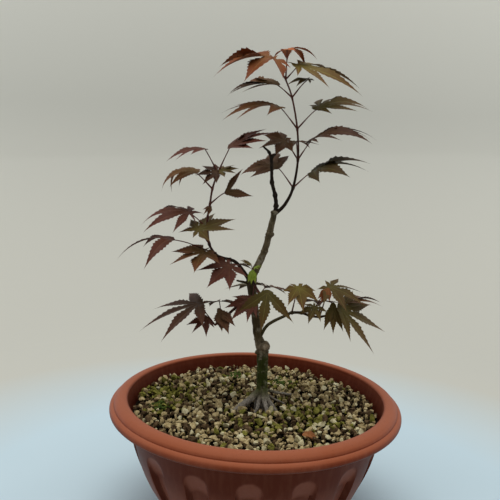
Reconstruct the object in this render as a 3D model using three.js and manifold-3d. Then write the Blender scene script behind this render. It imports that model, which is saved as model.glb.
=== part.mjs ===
import * as THREE from "three";
import { mergeVertices } from "three/addons/utils/BufferGeometryUtils.js";
import Module from "manifold-3d";

// A young maple with bronze-red leaves, grown as a bonsai in a round fluted bowl.
// Millimetres, +Z up. The origin is on the bowl's axis at its flat underside, and -Y is the front.

// Bowl
const BOWL_HEIGHT = 136;
const BOWL_WALL = 3;
const BOWL_FLOOR = 5;
const FOOT_RADIUS = 73;
// The wall begins this far below the rim's crest
const RIM_DEPTH = 18;
// Rim from its inner edge over the roll, the groove and the bead to the wall, as [radius, drop] pairs
const RIM = [
  [131.5, 4], [132, 1.5], [134, 0.3], [137, 0], [141, 0.8], [144, 2.8], [145.4, 4.8], [145.8, 6.3],
  [147.6, 6.9], [149.4, 8.7], [150, 11.2], [149.4, 13.4], [146.8, 15.4], [131, 17.4],
];
const FLUTE_COUNT = 16;
const FLUTE_FIRST_TURN = -92;
const FLUTE_DEPTH = 6;
// Flutes are measured across at this distance from the bowl's axis and narrow below it
const FLUTE_RADIUS = 120;
const FLUTE_HALF_WIDTH = 12;
const FLUTE_TOP_DEPTH = 34;
const FLUTE_SLOPE = 18;
const FLUTE_EDGE = 3;
const FLUTE_FADE = 20;
// Turns from a flute's centre line at which the bowl has an edge, in degrees
const FLUTE_COLUMNS = [0, 4.2, 5.8, 16.7, 18.3];

// Soil
const GROUND = 122;
const SOIL_GAP = 0.3;
const SOIL_INSET = 1.3;
const SOIL_COLUMNS = 48;
const SOIL_RINGS = 11;
// Coarse grit on top: how high it stands, how far it strays, and how far it keeps off the roots
const GRIT_HEIGHT = 5.5;
const GRIT_STRAY = 2;
const GRIT_MARGIN = 15;
const GRIT_SEED = 31;

// Limbs
const FOOT = new THREE.Vector3(7, 0, GROUND);
const CLEARANCE = 0.3;
const TRUNK_SIDES = 10;
const BOUGH_SIDES = 7;
const TWIG_SIDES = 5;
const STALK_SIDES = 3;
const STALK_RADIUS = 0.75;

// Leaves: shares of the middle lobe's length, and degrees
const LEAF_THICKNESS = 0.9;
const LOBE_WIDTH = 0.11;
const LEAF_FOLD = 0.22;
const LONG_LOBE = 24;
const LEAF_HEEL = 0.09;
const LEAF_LOBES = [
  { turn: -118, length: 0.34, droop: 0.3 },
  { turn: -74, length: 0.66, droop: 0.5 },
  { turn: -36, length: 0.9, droop: 0.85 },
  { turn: 0, length: 1, droop: 1 },
  { turn: 36, length: 0.9, droop: 0.85 },
  { turn: 74, length: 0.66, droop: 0.5 },
  { turn: 118, length: 0.34, droop: 0.3 },
];
const TURN_JITTER = 5;
const LENGTH_JITTER = 0.07;
const DROOP_JITTER = 0.12;

const wasm = await Module();
wasm.setup();

const degrees = THREE.MathUtils.degToRad;

// Repeatable random numbers from 0 to 1
function seededRandom(seed) {
  let state = seed;
  return () => {
    state = (Math.imul(state, 1664525) + 1013904223) >>> 0;
    return state / 4294967296;
  };
}

function solidOf(geometry) {
  geometry.deleteAttribute("normal");
  geometry.deleteAttribute("uv");
  const merged = mergeVertices(geometry, 1e-4);
  return new wasm.Manifold(new wasm.Mesh({
    numProp: 3,
    vertProperties: new Float32Array(merged.attributes.position.array),
    triVerts: new Uint32Array(merged.index.array),
  }));
}

// The largest closed body of a joined solid, without scraps or sealed hollows
function wholeBody(solid) {
  const bodies = solid.decompose();
  return bodies.reduce((largest, body) => (body.volume() > largest.volume() ? body : largest));
}

function geometryOf(solid) {
  const mesh = solid.getMesh();
  const geometry = new THREE.BufferGeometry();
  geometry.setAttribute("position", new THREE.BufferAttribute(new Float32Array(mesh.vertProperties), 3));
  geometry.setIndex(new THREE.BufferAttribute(new Uint32Array(mesh.triVerts), 1));
  geometry.computeVertexNormals();
  return geometry;
}

// Moves every corner of a geometry to the place that a rule gives for it
function reshape(geometry, rule) {
  const position = geometry.attributes.position;
  const corner = new THREE.Vector3();
  for (let index = 0; index < position.count; index += 1) {
    corner.fromBufferAttribute(position, index);
    rule(corner);
    position.setXYZ(index, corner.x, corner.y, corner.z);
  }
  return geometry;
}

// A profile of [radius, height] pairs turned about +Z
function turned(profile, columns) {
  const points = profile.map(([radius, height]) => new THREE.Vector2(radius, height));
  return new THREE.LatheGeometry(points, columns).rotateX(Math.PI / 2);
}

function ellipsoid(center, radii) {
  const geometry = new THREE.IcosahedronGeometry(1, 1).scale(radii[0], radii[1], radii[2]);
  return solidOf(geometry.translate(center[0], center[1], center[2]));
}

// Bowl: rolled rim over a groove and a bead, then a round-bellied wall with hollow flutes
function bowlWallRadius(depth) {
  const depths = [RIM_DEPTH, 30, 45, 62, 79, 96, 111, 123, BOWL_HEIGHT];
  const radii = [131, 129, 126.5, 121.5, 114.5, 105.5, 95, 85, FOOT_RADIUS];
  let step = 0;
  while (step < depths.length - 2 && depth > depths[step + 1]) {
    step += 1;
  }
  const share = (depth - depths[step]) / (depths[step + 1] - depths[step]);
  return radii[step] + share * (radii[step + 1] - radii[step]);
}

// The inside of the wall keeps clear of the flutes below the rim
function bowlInnerRadius(depth) {
  const fluteEnd = FLUTE_TOP_DEPTH + FLUTE_SLOPE;
  const room = FLUTE_DEPTH * THREE.MathUtils.smoothstep(depth, RIM_DEPTH, fluteEnd);
  return bowlWallRadius(depth) - BOWL_WALL - room;
}

function bowlProfile() {
  const fluteEnd = FLUTE_TOP_DEPTH + FLUTE_SLOPE;
  const wallDepths = [123, 104, 86, 68, fluteEnd, 44, FLUTE_TOP_DEPTH + 4, FLUTE_TOP_DEPTH];
  const innerDepths = [RIM_DEPTH, 62, 104, BOWL_HEIGHT - BOWL_FLOOR];
  const profile = [[0, 0], [FOOT_RADIUS, 0]];
  for (const depth of wallDepths) {
    profile.push([bowlWallRadius(depth), BOWL_HEIGHT - depth]);
  }
  for (const [radius, drop] of [...RIM].reverse()) {
    profile.push([radius, BOWL_HEIGHT - drop]);
  }
  for (const depth of innerDepths) {
    profile.push([bowlInnerRadius(depth), BOWL_HEIGHT - depth]);
  }
  profile.push([0, BOWL_FLOOR]);
  return profile;
}

// How far a flute is sunk into the wall at a given height and distance from its centre line
function fluteDepth(depth, aside) {
  const across = Math.min(aside, FLUTE_HALF_WIDTH);
  const archDrop = FLUTE_HALF_WIDTH - Math.sqrt(FLUTE_HALF_WIDTH ** 2 - across ** 2);
  const inside = THREE.MathUtils.smoothstep(FLUTE_HALF_WIDTH - across, 0, FLUTE_EDGE);
  const slope = THREE.MathUtils.clamp((depth - FLUTE_TOP_DEPTH - archDrop) / FLUTE_SLOPE, 0, 1);
  const fade = THREE.MathUtils.clamp((BOWL_HEIGHT - depth) / FLUTE_FADE, 0, 1);
  return FLUTE_DEPTH * inside * slope * fade;
}

function bowlGeometry() {
  const columns = FLUTE_COUNT * FLUTE_COLUMNS.length;
  const pitch = 360 / FLUTE_COUNT;
  const geometry = turned(bowlProfile(), columns);
  return reshape(geometry, (corner) => {
    const radius = Math.hypot(corner.x, corner.y);
    const turn = THREE.MathUtils.radToDeg(Math.atan2(corner.y, corner.x));
    const column = THREE.MathUtils.euclideanModulo(Math.round((turn * columns) / 360), columns);
    const flute = Math.floor(column / FLUTE_COLUMNS.length);
    const fromFlute = FLUTE_COLUMNS[column % FLUTE_COLUMNS.length];
    const newTurn = degrees(FLUTE_FIRST_TURN + flute * pitch + fromFlute);
    const depth = BOWL_HEIGHT - corner.z;
    const aside = degrees(Math.min(fromFlute, pitch - fromFlute)) * FLUTE_RADIUS;
    const outside = radius > bowlWallRadius(Math.max(depth, RIM_DEPTH)) - BOWL_WALL / 2;
    const newRadius = outside ? radius - fluteDepth(depth, aside) : radius;
    corner.x = newRadius * Math.cos(newTurn);
    corner.y = newRadius * Math.sin(newTurn);
  });
}

// How far a place on the ground is from the nearest root
function fromRoots(x, y) {
  const place = new THREE.Vector3(x, y, GROUND);
  const distances = surfaceRoots.map((root) => {
    const end = FOOT.clone().addScaledVector(directionOf(root.turn, 0), root.reach);
    return new THREE.Line3(FOOT, end).closestPointToPoint(place, true, new THREE.Vector3()).distanceTo(place);
  });
  return Math.min(...distances);
}

// Soil: fills the bowl, with coarse grit that stands up here and there on its top
function soilGeometry() {
  const wall = (depth) => bowlInnerRadius(depth) - SOIL_INSET;
  const topRadius = wall(RIM_DEPTH);
  const profile = [[0, BOWL_FLOOR + SOIL_GAP], [wall(BOWL_HEIGHT - BOWL_FLOOR) - 1, BOWL_FLOOR + SOIL_GAP]];
  for (const depth of [104, 62, 22]) {
    profile.push([wall(depth), BOWL_HEIGHT - depth]);
  }
  for (let ring = SOIL_RINGS; ring >= 0; ring -= 1) {
    profile.push([(topRadius * ring) / SOIL_RINGS, GROUND]);
  }
  const random = seededRandom(GRIT_SEED);
  const grains = Array.from({ length: SOIL_COLUMNS * (SOIL_RINGS + 1) }, () => ({
    height: GRIT_HEIGHT * THREE.MathUtils.smoothstep(random(), 0.25, 0.75),
    strayX: GRIT_STRAY * (2 * random() - 1),
    strayY: GRIT_STRAY * (2 * random() - 1),
  }));
  return reshape(turned(profile, SOIL_COLUMNS), (corner) => {
    const radius = Math.hypot(corner.x, corner.y);
    const ring = Math.round((radius * SOIL_RINGS) / topRadius);
    const turn = Math.atan2(corner.y, corner.x) / (2 * Math.PI);
    const column = THREE.MathUtils.euclideanModulo(Math.round(turn * SOIL_COLUMNS), SOIL_COLUMNS);
    if (corner.z < GROUND - 0.01 || ring === 0 || ring === SOIL_RINGS) {
      return;
    }
    const grain = grains[ring * SOIL_COLUMNS + column];
    const open = THREE.MathUtils.clamp((fromRoots(corner.x, corner.y) - GRIT_MARGIN) / 4, 0, 1);
    corner.x += open * grain.strayX;
    corner.y += open * grain.strayY;
    corner.z += open * grain.height;
  });
}

// Limbs: a smooth curve through joints, with a radius at each joint
function limbCurve(joints) {
  const points = joints.map(([x, y, z]) => new THREE.Vector3(x, y, z));
  return new THREE.CatmullRomCurve3(points, false, "catmullrom", 0.5);
}

function radiusAlong(radii, share) {
  const place = share * (radii.length - 1);
  const step = Math.min(Math.floor(place), radii.length - 2);
  return THREE.MathUtils.lerp(radii[step], radii[step + 1], place - step);
}

// A tapering round limb along part of a curve, from one share of it to another
function limbSolid(curve, from, to, radii, sides, rings, grow = 0) {
  const chord = curve.getPoint(to).sub(curve.getPoint(from)).normalize();
  const sideways = Math.abs(chord.y) < 0.75 ? new THREE.Vector3(0, 1, 0) : new THREE.Vector3(1, 0, 0);
  const geometry = new THREE.CylinderGeometry(1, 1, 1, sides, rings);
  return solidOf(reshape(geometry, (corner) => {
    const share = from + (to - from) * (corner.y + 0.5);
    const along = curve.getTangent(share);
    const across = new THREE.Vector3().crossVectors(sideways, along).normalize();
    const over = new THREE.Vector3().crossVectors(along, across);
    const radius = radiusAlong(radii, share) + grow;
    const point = curve.getPoint(share);
    point.addScaledVector(across, radius * corner.z).addScaledVector(over, radius * corner.x);
    corner.copy(point);
  }));
}

// Trunk with its root flare, knobs and a short stub
const trunkJoints = [
  [7, 0, GROUND - 4], [6.8, 0, 129], [6.3, 0, 141], [5.9, 0, 161], [5.2, 0, 181], [0.3, 0, 196],
  [-2.6, 0, 215], [-6.2, 0, 236], [-9, 0, 253], [-6.5, 0, 262], [3.3, 0, 286], [7.4, 0, 303], [12, 0, 326],
];
const trunkRadii = [8.5, 7.2, 5.7, 5.6, 6.1, 4.4, 4.3, 4.3, 4.6, 3.9, 3.3, 3.2, 3];
const trunkKnobs = [
  { center: [5.8, -0.5, 187], radii: [7, 6.8, 5.4] },
  { center: [-8.5, 0, 256], radii: [5.6, 5.4, 5.4] },
  { center: [8.2, -0.4, 303.5], radii: [4.7, 4.3, 3] },
  { center: [12, 0, 325.5], radii: [3.9, 3.7, 2.6] },
];
const surfaceRoots = [
  { turn: 208, reach: 34, height: 17, radius: 4 },
  { turn: 165, reach: 24, height: 14, radius: 3 },
  { turn: 105, reach: 24, height: 14, radius: 2.8 },
  { turn: 40, reach: 56, height: 17, radius: 1.6 },
  { turn: 18, reach: 27, height: 14, radius: 1.4 },
  { turn: -50, reach: 24, height: 19, radius: 2.6 },
  { turn: -77, reach: 23, height: 19, radius: 2.7 },
  { turn: -112, reach: 19, height: 15, radius: 2.4 },
];
const trunkStub = { joints: [[-9, 0, 252], [-17, -3, 254], [-24, -4, 255.5]], radii: [1.6, 1.3, 1] };

function surfaceRoot(root) {
  const outward = (distance, height) => [
    FOOT.x + distance * Math.cos(degrees(root.turn)),
    FOOT.y + distance * Math.sin(degrees(root.turn)),
    GROUND + height,
  ];
  const curve = limbCurve([
    outward(3, root.height), outward(root.reach * 0.42, root.height * 0.58),
    outward(root.reach * 0.76, root.height * 0.16), outward(root.reach, -root.radius * 0.6),
  ]);
  return limbSolid(curve, 0, 1, [root.radius, root.radius * 0.85, root.radius * 0.6], TWIG_SIDES, 4);
}

function trunkSolid() {
  const stubCurve = limbCurve(trunkStub.joints);
  let trunk = limbSolid(limbCurve(trunkJoints), 0, 1, trunkRadii, TRUNK_SIDES, 26);
  for (const knob of trunkKnobs) {
    trunk = trunk.add(ellipsoid(knob.center, knob.radii));
  }
  for (const root of surfaceRoots) {
    trunk = trunk.add(surfaceRoot(root));
  }
  trunk = trunk.add(limbSolid(stubCurve, 0, 1, trunkStub.radii, TWIG_SIDES, 2));
  const above = new THREE.BoxGeometry(300, 300, 300).translate(0, 0, GROUND + CLEARANCE + 150);
  return wholeBody(trunk.intersect(solidOf(above)));
}

// The trunk a little larger all round, to cut its neighbours clear of it
function trunkSleeve() {
  let sleeve = limbSolid(limbCurve(trunkJoints), 0, 1, trunkRadii, TRUNK_SIDES, 26, CLEARANCE);
  for (const knob of trunkKnobs) {
    sleeve = sleeve.add(ellipsoid(knob.center, knob.radii.map((radius) => radius + CLEARANCE)));
  }
  return sleeve;
}

// Limbs that leave the trunk. The bough is the part before the first mass of leaves, up to the joint
// named by boughEnd, and the rest is that mass's stem. Without boughEnd the stem starts at the trunk.
const limbs = {
  leader: {
    joints: [[12.5, 0, 324], [22, 0, 334], [29.5, 0, 351], [33, 0, 379], [31, 0, 409], [24.5, 0, 439],
      [17.5, 0, 456]],
    radii: [2, 1.7, 1.35, 1.1, 0.95, 0.85, 0.75],
    boughEnd: 1.8,
  },
  left: {
    joints: [[-10.5, 0, 255], [-18, -2, 266], [-25, -4, 274], [-31, -6, 277], [-39, -8, 279], [-46, -10, 283],
      [-52, -12, 293], [-54, -15, 309], [-54, -16, 320], [-52, -17, 333], [-50, -18, 348], [-45, -20, 364]],
    radii: [2.2, 1.9, 1.7, 1.6, 1.5, 1.35, 1.2, 1.1, 1.05, 1, 0.95, 0.85],
    boughEnd: 2.5,
  },
  lower_right: {
    joints: [[2, 0, 196], [10, -2, 210], [28, 0, 220], [34, 0, 223], [44, 1, 223], [53, 2, 220], [63, 3, 219],
      [74, 4, 221], [82, 4, 219]],
    radii: [1.9, 1.7, 1.5, 1.5, 1.4, 1.3, 1.2, 1.1, 0.9],
    boughEnd: 2.5,
  },
  lower_left: {
    joints: [[-6.5, 0, 232], [-16, -6, 232], [-24, -9, 228], [-37, -13, 216], [-44, -14, 211]],
    radii: [1.8, 1.6, 1.5, 1.3, 1],
    boughEnd: 2,
  },
  front: {
    joints: [[-8, 0, 258], [-5, -10, 252], [1, -14, 244]],
    radii: [1.3, 1.2, 1],
  },
  back: {
    joints: [[-6, 0, 228], [-4, 10, 232], [0, 18, 236]],
    radii: [1.4, 1.3, 1],
  },
  green: {
    joints: [[-8, 0, 262], [-8.5, -7.5, 266], [-8, -10, 269]],
    radii: [1, 0.9, 0.8],
  },
};

// Leaves of each mass: the joint they grow from, the compass turn and rise of the stalk and its length,
// then the blade's tilt and roll, the length of its middle lobe, the droop of its tip, how far its fan
// is spread, the turn of the blade from its stalk, how many lobes it has and how wide they are
const leaves = {
  leader: [
    { joint: 2, turn: 138, rise: 42, stalk: 30, tilt: 22, roll: -12, size: 50, droop: 58, spread: 0.9,
      lobes: 5 },
    { joint: 2, turn: -35, rise: 38, stalk: 29, tilt: 30, roll: 6, size: 62, droop: 60, spread: 0.75,
      lobes: 5 },
    { joint: 3, turn: 149, rise: 49, stalk: 24, tilt: -10, roll: -35, size: 30, droop: 20, spread: 1.35,
      twist: 51, width: 1.2 },
    { joint: 3, turn: -22, rise: 55, stalk: 24, tilt: 38, roll: 12, size: 70, droop: 84, spread: 0.55,
      width: 0.8 },
    { joint: 3, turn: 94, rise: 43, stalk: 27, tilt: 1, roll: 0, size: 40, droop: 25, spread: 1 },
    { joint: 4, turn: 212, rise: 41, stalk: 30, tilt: 10, roll: -8, size: 66, droop: 57, spread: 0.6,
      lobes: 5, width: 0.85 },
    { joint: 4, turn: 25, rise: 43, stalk: 32, tilt: 27, roll: 6, size: 64, droop: 50, spread: 0.75,
      width: 0.9 },
    { joint: 5, turn: 147, rise: 34, stalk: 24, tilt: 11, roll: 0, size: 58, droop: 68, spread: 0.5,
      lobes: 5, width: 0.85 },
    { joint: 5, turn: 33, rise: 46, stalk: 27, tilt: 0, roll: -15, size: 24, droop: 40, spread: 1.2,
      twist: 150 },
    { joint: 6, turn: 210, rise: 49, stalk: 25, tilt: 5, roll: -10, size: 66, droop: 57, spread: 1.05,
      width: 0.95 },
    { joint: 6, turn: 13, rise: 46, stalk: 19, tilt: 3, roll: 20, size: 77, droop: 41, spread: 0.95,
      width: 1.2 },
    { joint: 6, turn: 73, rise: 86, stalk: 29, tilt: 18, roll: -6, size: 38, droop: 72, spread: 1,
      twist: -13 },
  ],
  left: [
    { joint: 3, turn: 267, rise: -21, stalk: 11, tilt: -20, roll: -22, size: 38, droop: 14, spread: 1.15,
      twist: -32, width: 1.3 },
    { joint: 3, turn: 85, rise: -25, stalk: 15, tilt: -10, roll: 0, size: 38, droop: 20, spread: 1 },
    { joint: 5, turn: 193, rise: 18, stalk: 47, tilt: 10, roll: -6, size: 56, droop: 66, spread: 1.6,
      lobes: 3 },
    { joint: 5, turn: 221, rise: 11, stalk: 15, tilt: -12, roll: -16, size: 40, droop: 16, spread: 1.25,
      twist: -5, width: 1.1 },
    { joint: 6, turn: 229, rise: 43, stalk: 22, tilt: 22, roll: 16, size: 44, droop: 12, spread: 1.15,
      twist: 155, width: 1.2 },
    { joint: 6, turn: 110, rise: 35, stalk: 22, tilt: -7, roll: 0, size: 36, droop: 14, spread: 1 },
    { joint: 7, turn: 171, rise: 37, stalk: 24, tilt: 14, roll: -6, size: 58, droop: 60, spread: 1.1,
      width: 0.85 },
    { joint: 8, turn: -33, rise: 70, stalk: 11, tilt: -40, roll: -30, size: 11, droop: 10, spread: 1,
      twist: -127, lobes: 3, width: 1.8 },
    { joint: 9, turn: -18, rise: 38, stalk: 21, tilt: 56, roll: 62, size: 30, droop: 15, spread: 1.7,
      twist: 18, lobes: 2, width: 1.2 },
    { joint: 10, turn: 157, rise: 38, stalk: 26, tilt: 24, roll: -6, size: 50, droop: 150, spread: 0.8,
      lobes: 5, width: 0.85 },
    { joint: 11, turn: -52, rise: 19, stalk: 5, tilt: 14, roll: 25, size: 20, droop: 12, spread: 1,
      twist: 52, lobes: 5, width: 1.3 },
    { joint: 11, turn: 248, rise: 8, stalk: 4, tilt: -2, roll: -40, size: 22, droop: 20, spread: 1.2,
      twist: -58, width: 1.2 },
    { joint: 11, turn: 201, rise: 57, stalk: 26, tilt: 4, roll: -4, size: 43, droop: 52, spread: 0.6,
      lobes: 5 },
    { joint: 11, turn: -30, rise: 61, stalk: 29, tilt: 30, roll: 20, size: 44, droop: 25, spread: 0.7,
      twist: 20, lobes: 5 },
  ],
  lower_right: [
    { joint: 3, turn: 299, rise: 72, stalk: 30, tilt: -28, roll: 0, size: 25, droop: 25, spread: 1.1,
      twist: -14, width: 1.2 },
    { joint: 4, turn: -35, rise: 30, stalk: 18, tilt: -30, roll: -10, size: 22, droop: 20, spread: 1.2,
      twist: -85, width: 1.3 },
    { joint: 5, turn: -20, rise: 60, stalk: 35, tilt: -40, roll: -20, size: 18, droop: 15, spread: 0.7,
      twist: -100, lobes: 3, width: 1.3 },
    { joint: 6, turn: 6, rise: 74, stalk: 33, tilt: -12, roll: 18, size: 44, droop: 30, spread: 1.1,
      twist: -26, width: 1.2 },
    { joint: 6, turn: 84, rise: 36, stalk: 22, tilt: -12, roll: 0, size: 44, droop: 18, spread: 1 },
    { joint: 7, turn: 27, rise: 33, stalk: 21, tilt: 20, roll: 0, size: 46, droop: 50, spread: 0.6,
      lobes: 5, width: 0.8 },
    { joint: 7, turn: -70, rise: 68, stalk: 13, tilt: -62, roll: 0, size: 32, droop: 12, spread: 0.5,
      twist: -20, lobes: 3, width: 1.2 },
    { joint: 8, turn: -72, rise: 58, stalk: 12, tilt: -26, roll: 44, size: 60, droop: 12, spread: 0.9,
      twist: 87, lobes: 5 },
  ],
  lower_left: [
    { joint: 3, turn: 223, rise: 68, stalk: 12, tilt: -39, roll: 24, size: 28, droop: 15, spread: 0.4,
      twist: 83, lobes: 3, width: 1.7 },
    { joint: 3, turn: 105, rise: 45, stalk: 22, tilt: -13, roll: 0, size: 42, droop: 14, spread: 1 },
    { joint: 4, turn: 193, rise: 51, stalk: 28, tilt: -13, roll: -10, size: 66, droop: 28, spread: 1.1,
      lobes: 5, width: 0.95 },
    { joint: 4, turn: 198, rise: 41, stalk: 12, tilt: -35, roll: -25, size: 24, droop: 15, spread: 1,
      twist: 27, lobes: 5 },
  ],
  front: [
    { joint: 2, turn: -31, rise: 19, stalk: 8, tilt: -59, roll: -12, size: 43, droop: 10, spread: 1.25,
      twist: -73, lobes: 3 },
    { joint: 1, turn: 250, rise: -58, stalk: 14, tilt: -32, roll: -34, size: 33, droop: 15, spread: 0.8,
      twist: -32, lobes: 5 },
  ],
  back: [
    { joint: 2, turn: 55, rise: 30, stalk: 16, tilt: -12, roll: 0, size: 44, droop: 18, spread: 1 },
    { joint: 2, turn: 118, rise: 30, stalk: 18, tilt: -12, roll: 0, size: 42, droop: 18, spread: 1 },
  ],
  green: [
    { joint: 2, turn: 188, rise: 65, stalk: 5, tilt: 30, roll: -20, size: 12, droop: 20, spread: 0.7,
      lobes: 5, width: 1.4 },
    { joint: 2, turn: -35, rise: 40, stalk: 3, tilt: 20, roll: 20, size: 10, droop: 30, spread: 0.8,
      lobes: 5 },
    { joint: 2, turn: 270, rise: -10, stalk: 5, tilt: -50, roll: 0, size: 15, droop: 20, spread: 0.6,
      lobes: 5, width: 1.6 },
  ],
};

// One point of a leaf lobe: a share along it, a distance off its midrib, in the blade's own frame
function lobePoint(lobe, share, aside) {
  const bend = Math.max(degrees(lobe.droop), 0.001);
  const bendRadius = lobe.length / bend;
  const out = bendRadius * Math.sin(share * bend);
  const down = bendRadius * (1 - Math.cos(share * bend));
  const turn = degrees(lobe.turn);
  return new THREE.Vector3(
    Math.cos(turn) * out - Math.sin(turn) * aside,
    Math.sin(turn) * out + Math.cos(turn) * aside,
    LEAF_FOLD * Math.abs(aside) - down,
  );
}

function leafLobes(leaf, random) {
  const count = leaf.lobes ?? LEAF_LOBES.length;
  const skipped = Math.floor((LEAF_LOBES.length - count) / 2);
  return LEAF_LOBES.slice(skipped, skipped + count).map((lobe) => {
    const turn = lobe.turn * leaf.spread + TURN_JITTER * (2 * random() - 1);
    const length = leaf.size * lobe.length * (1 + LENGTH_JITTER * (2 * random() - 1));
    const droop = leaf.droop * lobe.droop * (1 + DROOP_JITTER * (2 * random() - 1));
    return { turn, length, droop };
  });
}

// A palmate blade, thickest along the midribs and thin at its outline, in its own frame
function bladeGeometry(leaf, random) {
  const lobes = leafLobes(leaf, random);
  const corners = [];
  const triangles = [];
  const half = LEAF_THICKNESS / 2;
  const addCorner = (point) => corners.push(point) - 1;
  const addRib = (point) => ({
    top: addCorner(point.clone().setZ(point.z + half)),
    under: addCorner(point.clone().setZ(point.z - half)),
  });
  const addEdge = (point) => {
    const corner = addCorner(point);
    return { top: corner, under: corner };
  };
  const addFace = (first, second, third) => {
    triangles.push(first.top, second.top, third.top, first.under, third.under, second.under);
  };
  const heelPoint = (turn) => new THREE.Vector3(
    LEAF_HEEL * leaf.size * Math.cos(degrees(turn)), LEAF_HEEL * leaf.size * Math.sin(degrees(turn)), 0,
  );
  const notchPoint = (first, second) => {
    const turn = degrees((first.turn + second.turn) / 2);
    const reach = 0.27 * Math.min(first.length, second.length) + 0.05 * leaf.size;
    return new THREE.Vector3(reach * Math.cos(turn), reach * Math.sin(turn), 0.01 * leaf.size);
  };
  const center = addRib(new THREE.Vector3(0, 0, 0));
  const notches = [addEdge(heelPoint(-155))];
  for (let index = 1; index < lobes.length; index += 1) {
    notches.push(addEdge(notchPoint(lobes[index - 1], lobes[index])));
  }
  notches.push(addEdge(heelPoint(155)));
  lobes.forEach((lobe, index) => {
    const width = LOBE_WIDTH * (leaf.width ?? 1) * lobe.length;
    const rib = addRib(lobePoint(lobe, 0.5, 0));
    const tip = addEdge(lobePoint(lobe, 1, 0));
    for (const side of [-1, 1]) {
      const notch = notches[side < 0 ? index : index + 1];
      const belly = addEdge(lobePoint(lobe, 0.45, side * width));
      const faces = [[center, notch, rib], [notch, belly, rib]];
      if (lobe.length > LONG_LOBE) {
        const neck = addEdge(lobePoint(lobe, 0.74, side * width * 0.6));
        faces.push([belly, neck, rib], [neck, tip, rib]);
      } else {
        faces.push([belly, tip, rib]);
      }
      for (const [first, second, third] of faces) {
        if (side < 0) {
          addFace(first, second, third);
        } else {
          addFace(first, third, second);
        }
      }
    }
  });
  addFace(center, notches[notches.length - 1], notches[0]);
  const geometry = new THREE.BufferGeometry();
  const numbers = corners.flatMap((corner) => corner.toArray());
  geometry.setAttribute("position", new THREE.Float32BufferAttribute(numbers, 3));
  geometry.setIndex(triangles);
  return geometry;
}

function directionOf(turn, rise) {
  const level = Math.cos(degrees(rise));
  return new THREE.Vector3(
    level * Math.cos(degrees(turn)), level * Math.sin(degrees(turn)), Math.sin(degrees(rise)),
  );
}

// A blade on its stalk, growing from a point on a stem
function leafSolid(leaf, node, random) {
  const base = node.clone().addScaledVector(directionOf(leaf.turn, leaf.rise), leaf.stalk);
  const bladeTurn = new THREE.Matrix4().makeRotationZ(degrees(leaf.turn + (leaf.twist ?? 0)));
  const bladeTilt = new THREE.Matrix4().makeRotationY(-degrees(leaf.tilt));
  const bladeRoll = new THREE.Matrix4().makeRotationX(degrees(leaf.roll));
  const pose = bladeTurn.multiply(bladeTilt).multiply(bladeRoll).setPosition(base);
  const blade = solidOf(bladeGeometry(leaf, random).applyMatrix4(pose));
  const heel = new THREE.Vector3(-0.02 * leaf.size, 0, 0).applyMatrix4(pose);
  const arch = node.clone().lerp(base, 0.6);
  arch.z += 0.04 * leaf.stalk;
  const stalkCurve = new THREE.CatmullRomCurve3([node, arch, heel], false, "catmullrom", 0.5);
  const stalk = limbSolid(stalkCurve, 0, 1, [STALK_RADIUS, STALK_RADIUS, 0.6], STALK_SIDES, 3);
  return blade.add(stalk);
}

// A stem with its leaves joined on, leaving out a leaf that would touch a limb or another mass
function leafMass(name, seed, sleeve, neighbours) {
  const limb = limbs[name];
  const curve = limbCurve(limb.joints);
  const last = limb.joints.length - 1;
  const gapShare = CLEARANCE / curve.getLength();
  const start = limb.boughEnd ? limb.boughEnd / last + gapShare : 0;
  const random = seededRandom(seed);
  let mass = limbSolid(curve, start, 1, limb.radii, TWIG_SIDES, 2 * limb.joints.length).subtract(sleeve);
  for (const leaf of leaves[name]) {
    const grown = leafSolid(leaf, curve.getPoint(leaf.joint / last), random);
    const touching = [sleeve, ...neighbours].some((other) => !grown.intersect(other).isEmpty());
    if (!touching) {
      mass = mass.add(grown);
    }
  }
  return wholeBody(mass);
}

function boughSolid(name, sleeve) {
  const limb = limbs[name];
  const curve = limbCurve(limb.joints);
  const end = limb.boughEnd / (limb.joints.length - 1);
  const rings = Math.ceil(limb.boughEnd * 4);
  return wholeBody(limbSolid(curve, 0, end, limb.radii, BOUGH_SIDES, rings).subtract(sleeve));
}

// Bare dead spur beside the leader, with its forked tip
const spurStem = {
  joints: [[12, 0, 324], [13.2, 0, 332], [11.8, -1, 343], [8.2, -3.5, 356], [7, -7, 373], [6, -9, 381.5]],
  radii: [2.3, 2.1, 1.9, 1.7, 1.6, 1.5],
};
const spurTwigs = [
  { joints: [[6.5, -8.2, 378], [4, -9.5, 385], [-2, -11, 390.5]], radii: [1.4, 1.2, 0.9] },
  { joints: [[6.3, -8.2, 378], [8, -9, 382], [10.5, -9.5, 383.5]], radii: [1.4, 1.3, 1.2] },
];

function deadSpurSolid(sleeve) {
  let spur = limbSolid(limbCurve(spurStem.joints), 0, 1, spurStem.radii, BOUGH_SIDES, 10);
  for (const twig of spurTwigs) {
    spur = spur.add(limbSolid(limbCurve(twig.joints), 0, 1, twig.radii, TWIG_SIDES, 3));
  }
  return wholeBody(spur.subtract(sleeve));
}

// The whole plant in its bowl
const tree = new THREE.Group();

function addPart(name, geometry, color, roughness) {
  const material = new THREE.MeshStandardMaterial({ color, roughness, metalness: 0 });
  const mesh = new THREE.Mesh(geometry, material);
  mesh.name = name;
  tree.add(mesh);
}

const sleeve = trunkSleeve();
const trunk = trunkSolid();
const deadSpur = deadSpurSolid(sleeve);
const spurSleeve = limbSolid(limbCurve(spurStem.joints), 0, 1, spurStem.radii, BOUGH_SIDES, 10, CLEARANCE);
const boughs = new Map();
for (const name of ["leader", "left", "lower_right", "lower_left"]) {
  boughs.set(name, boughSolid(name, name === "leader" ? sleeve.add(spurSleeve) : sleeve));
}

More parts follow.
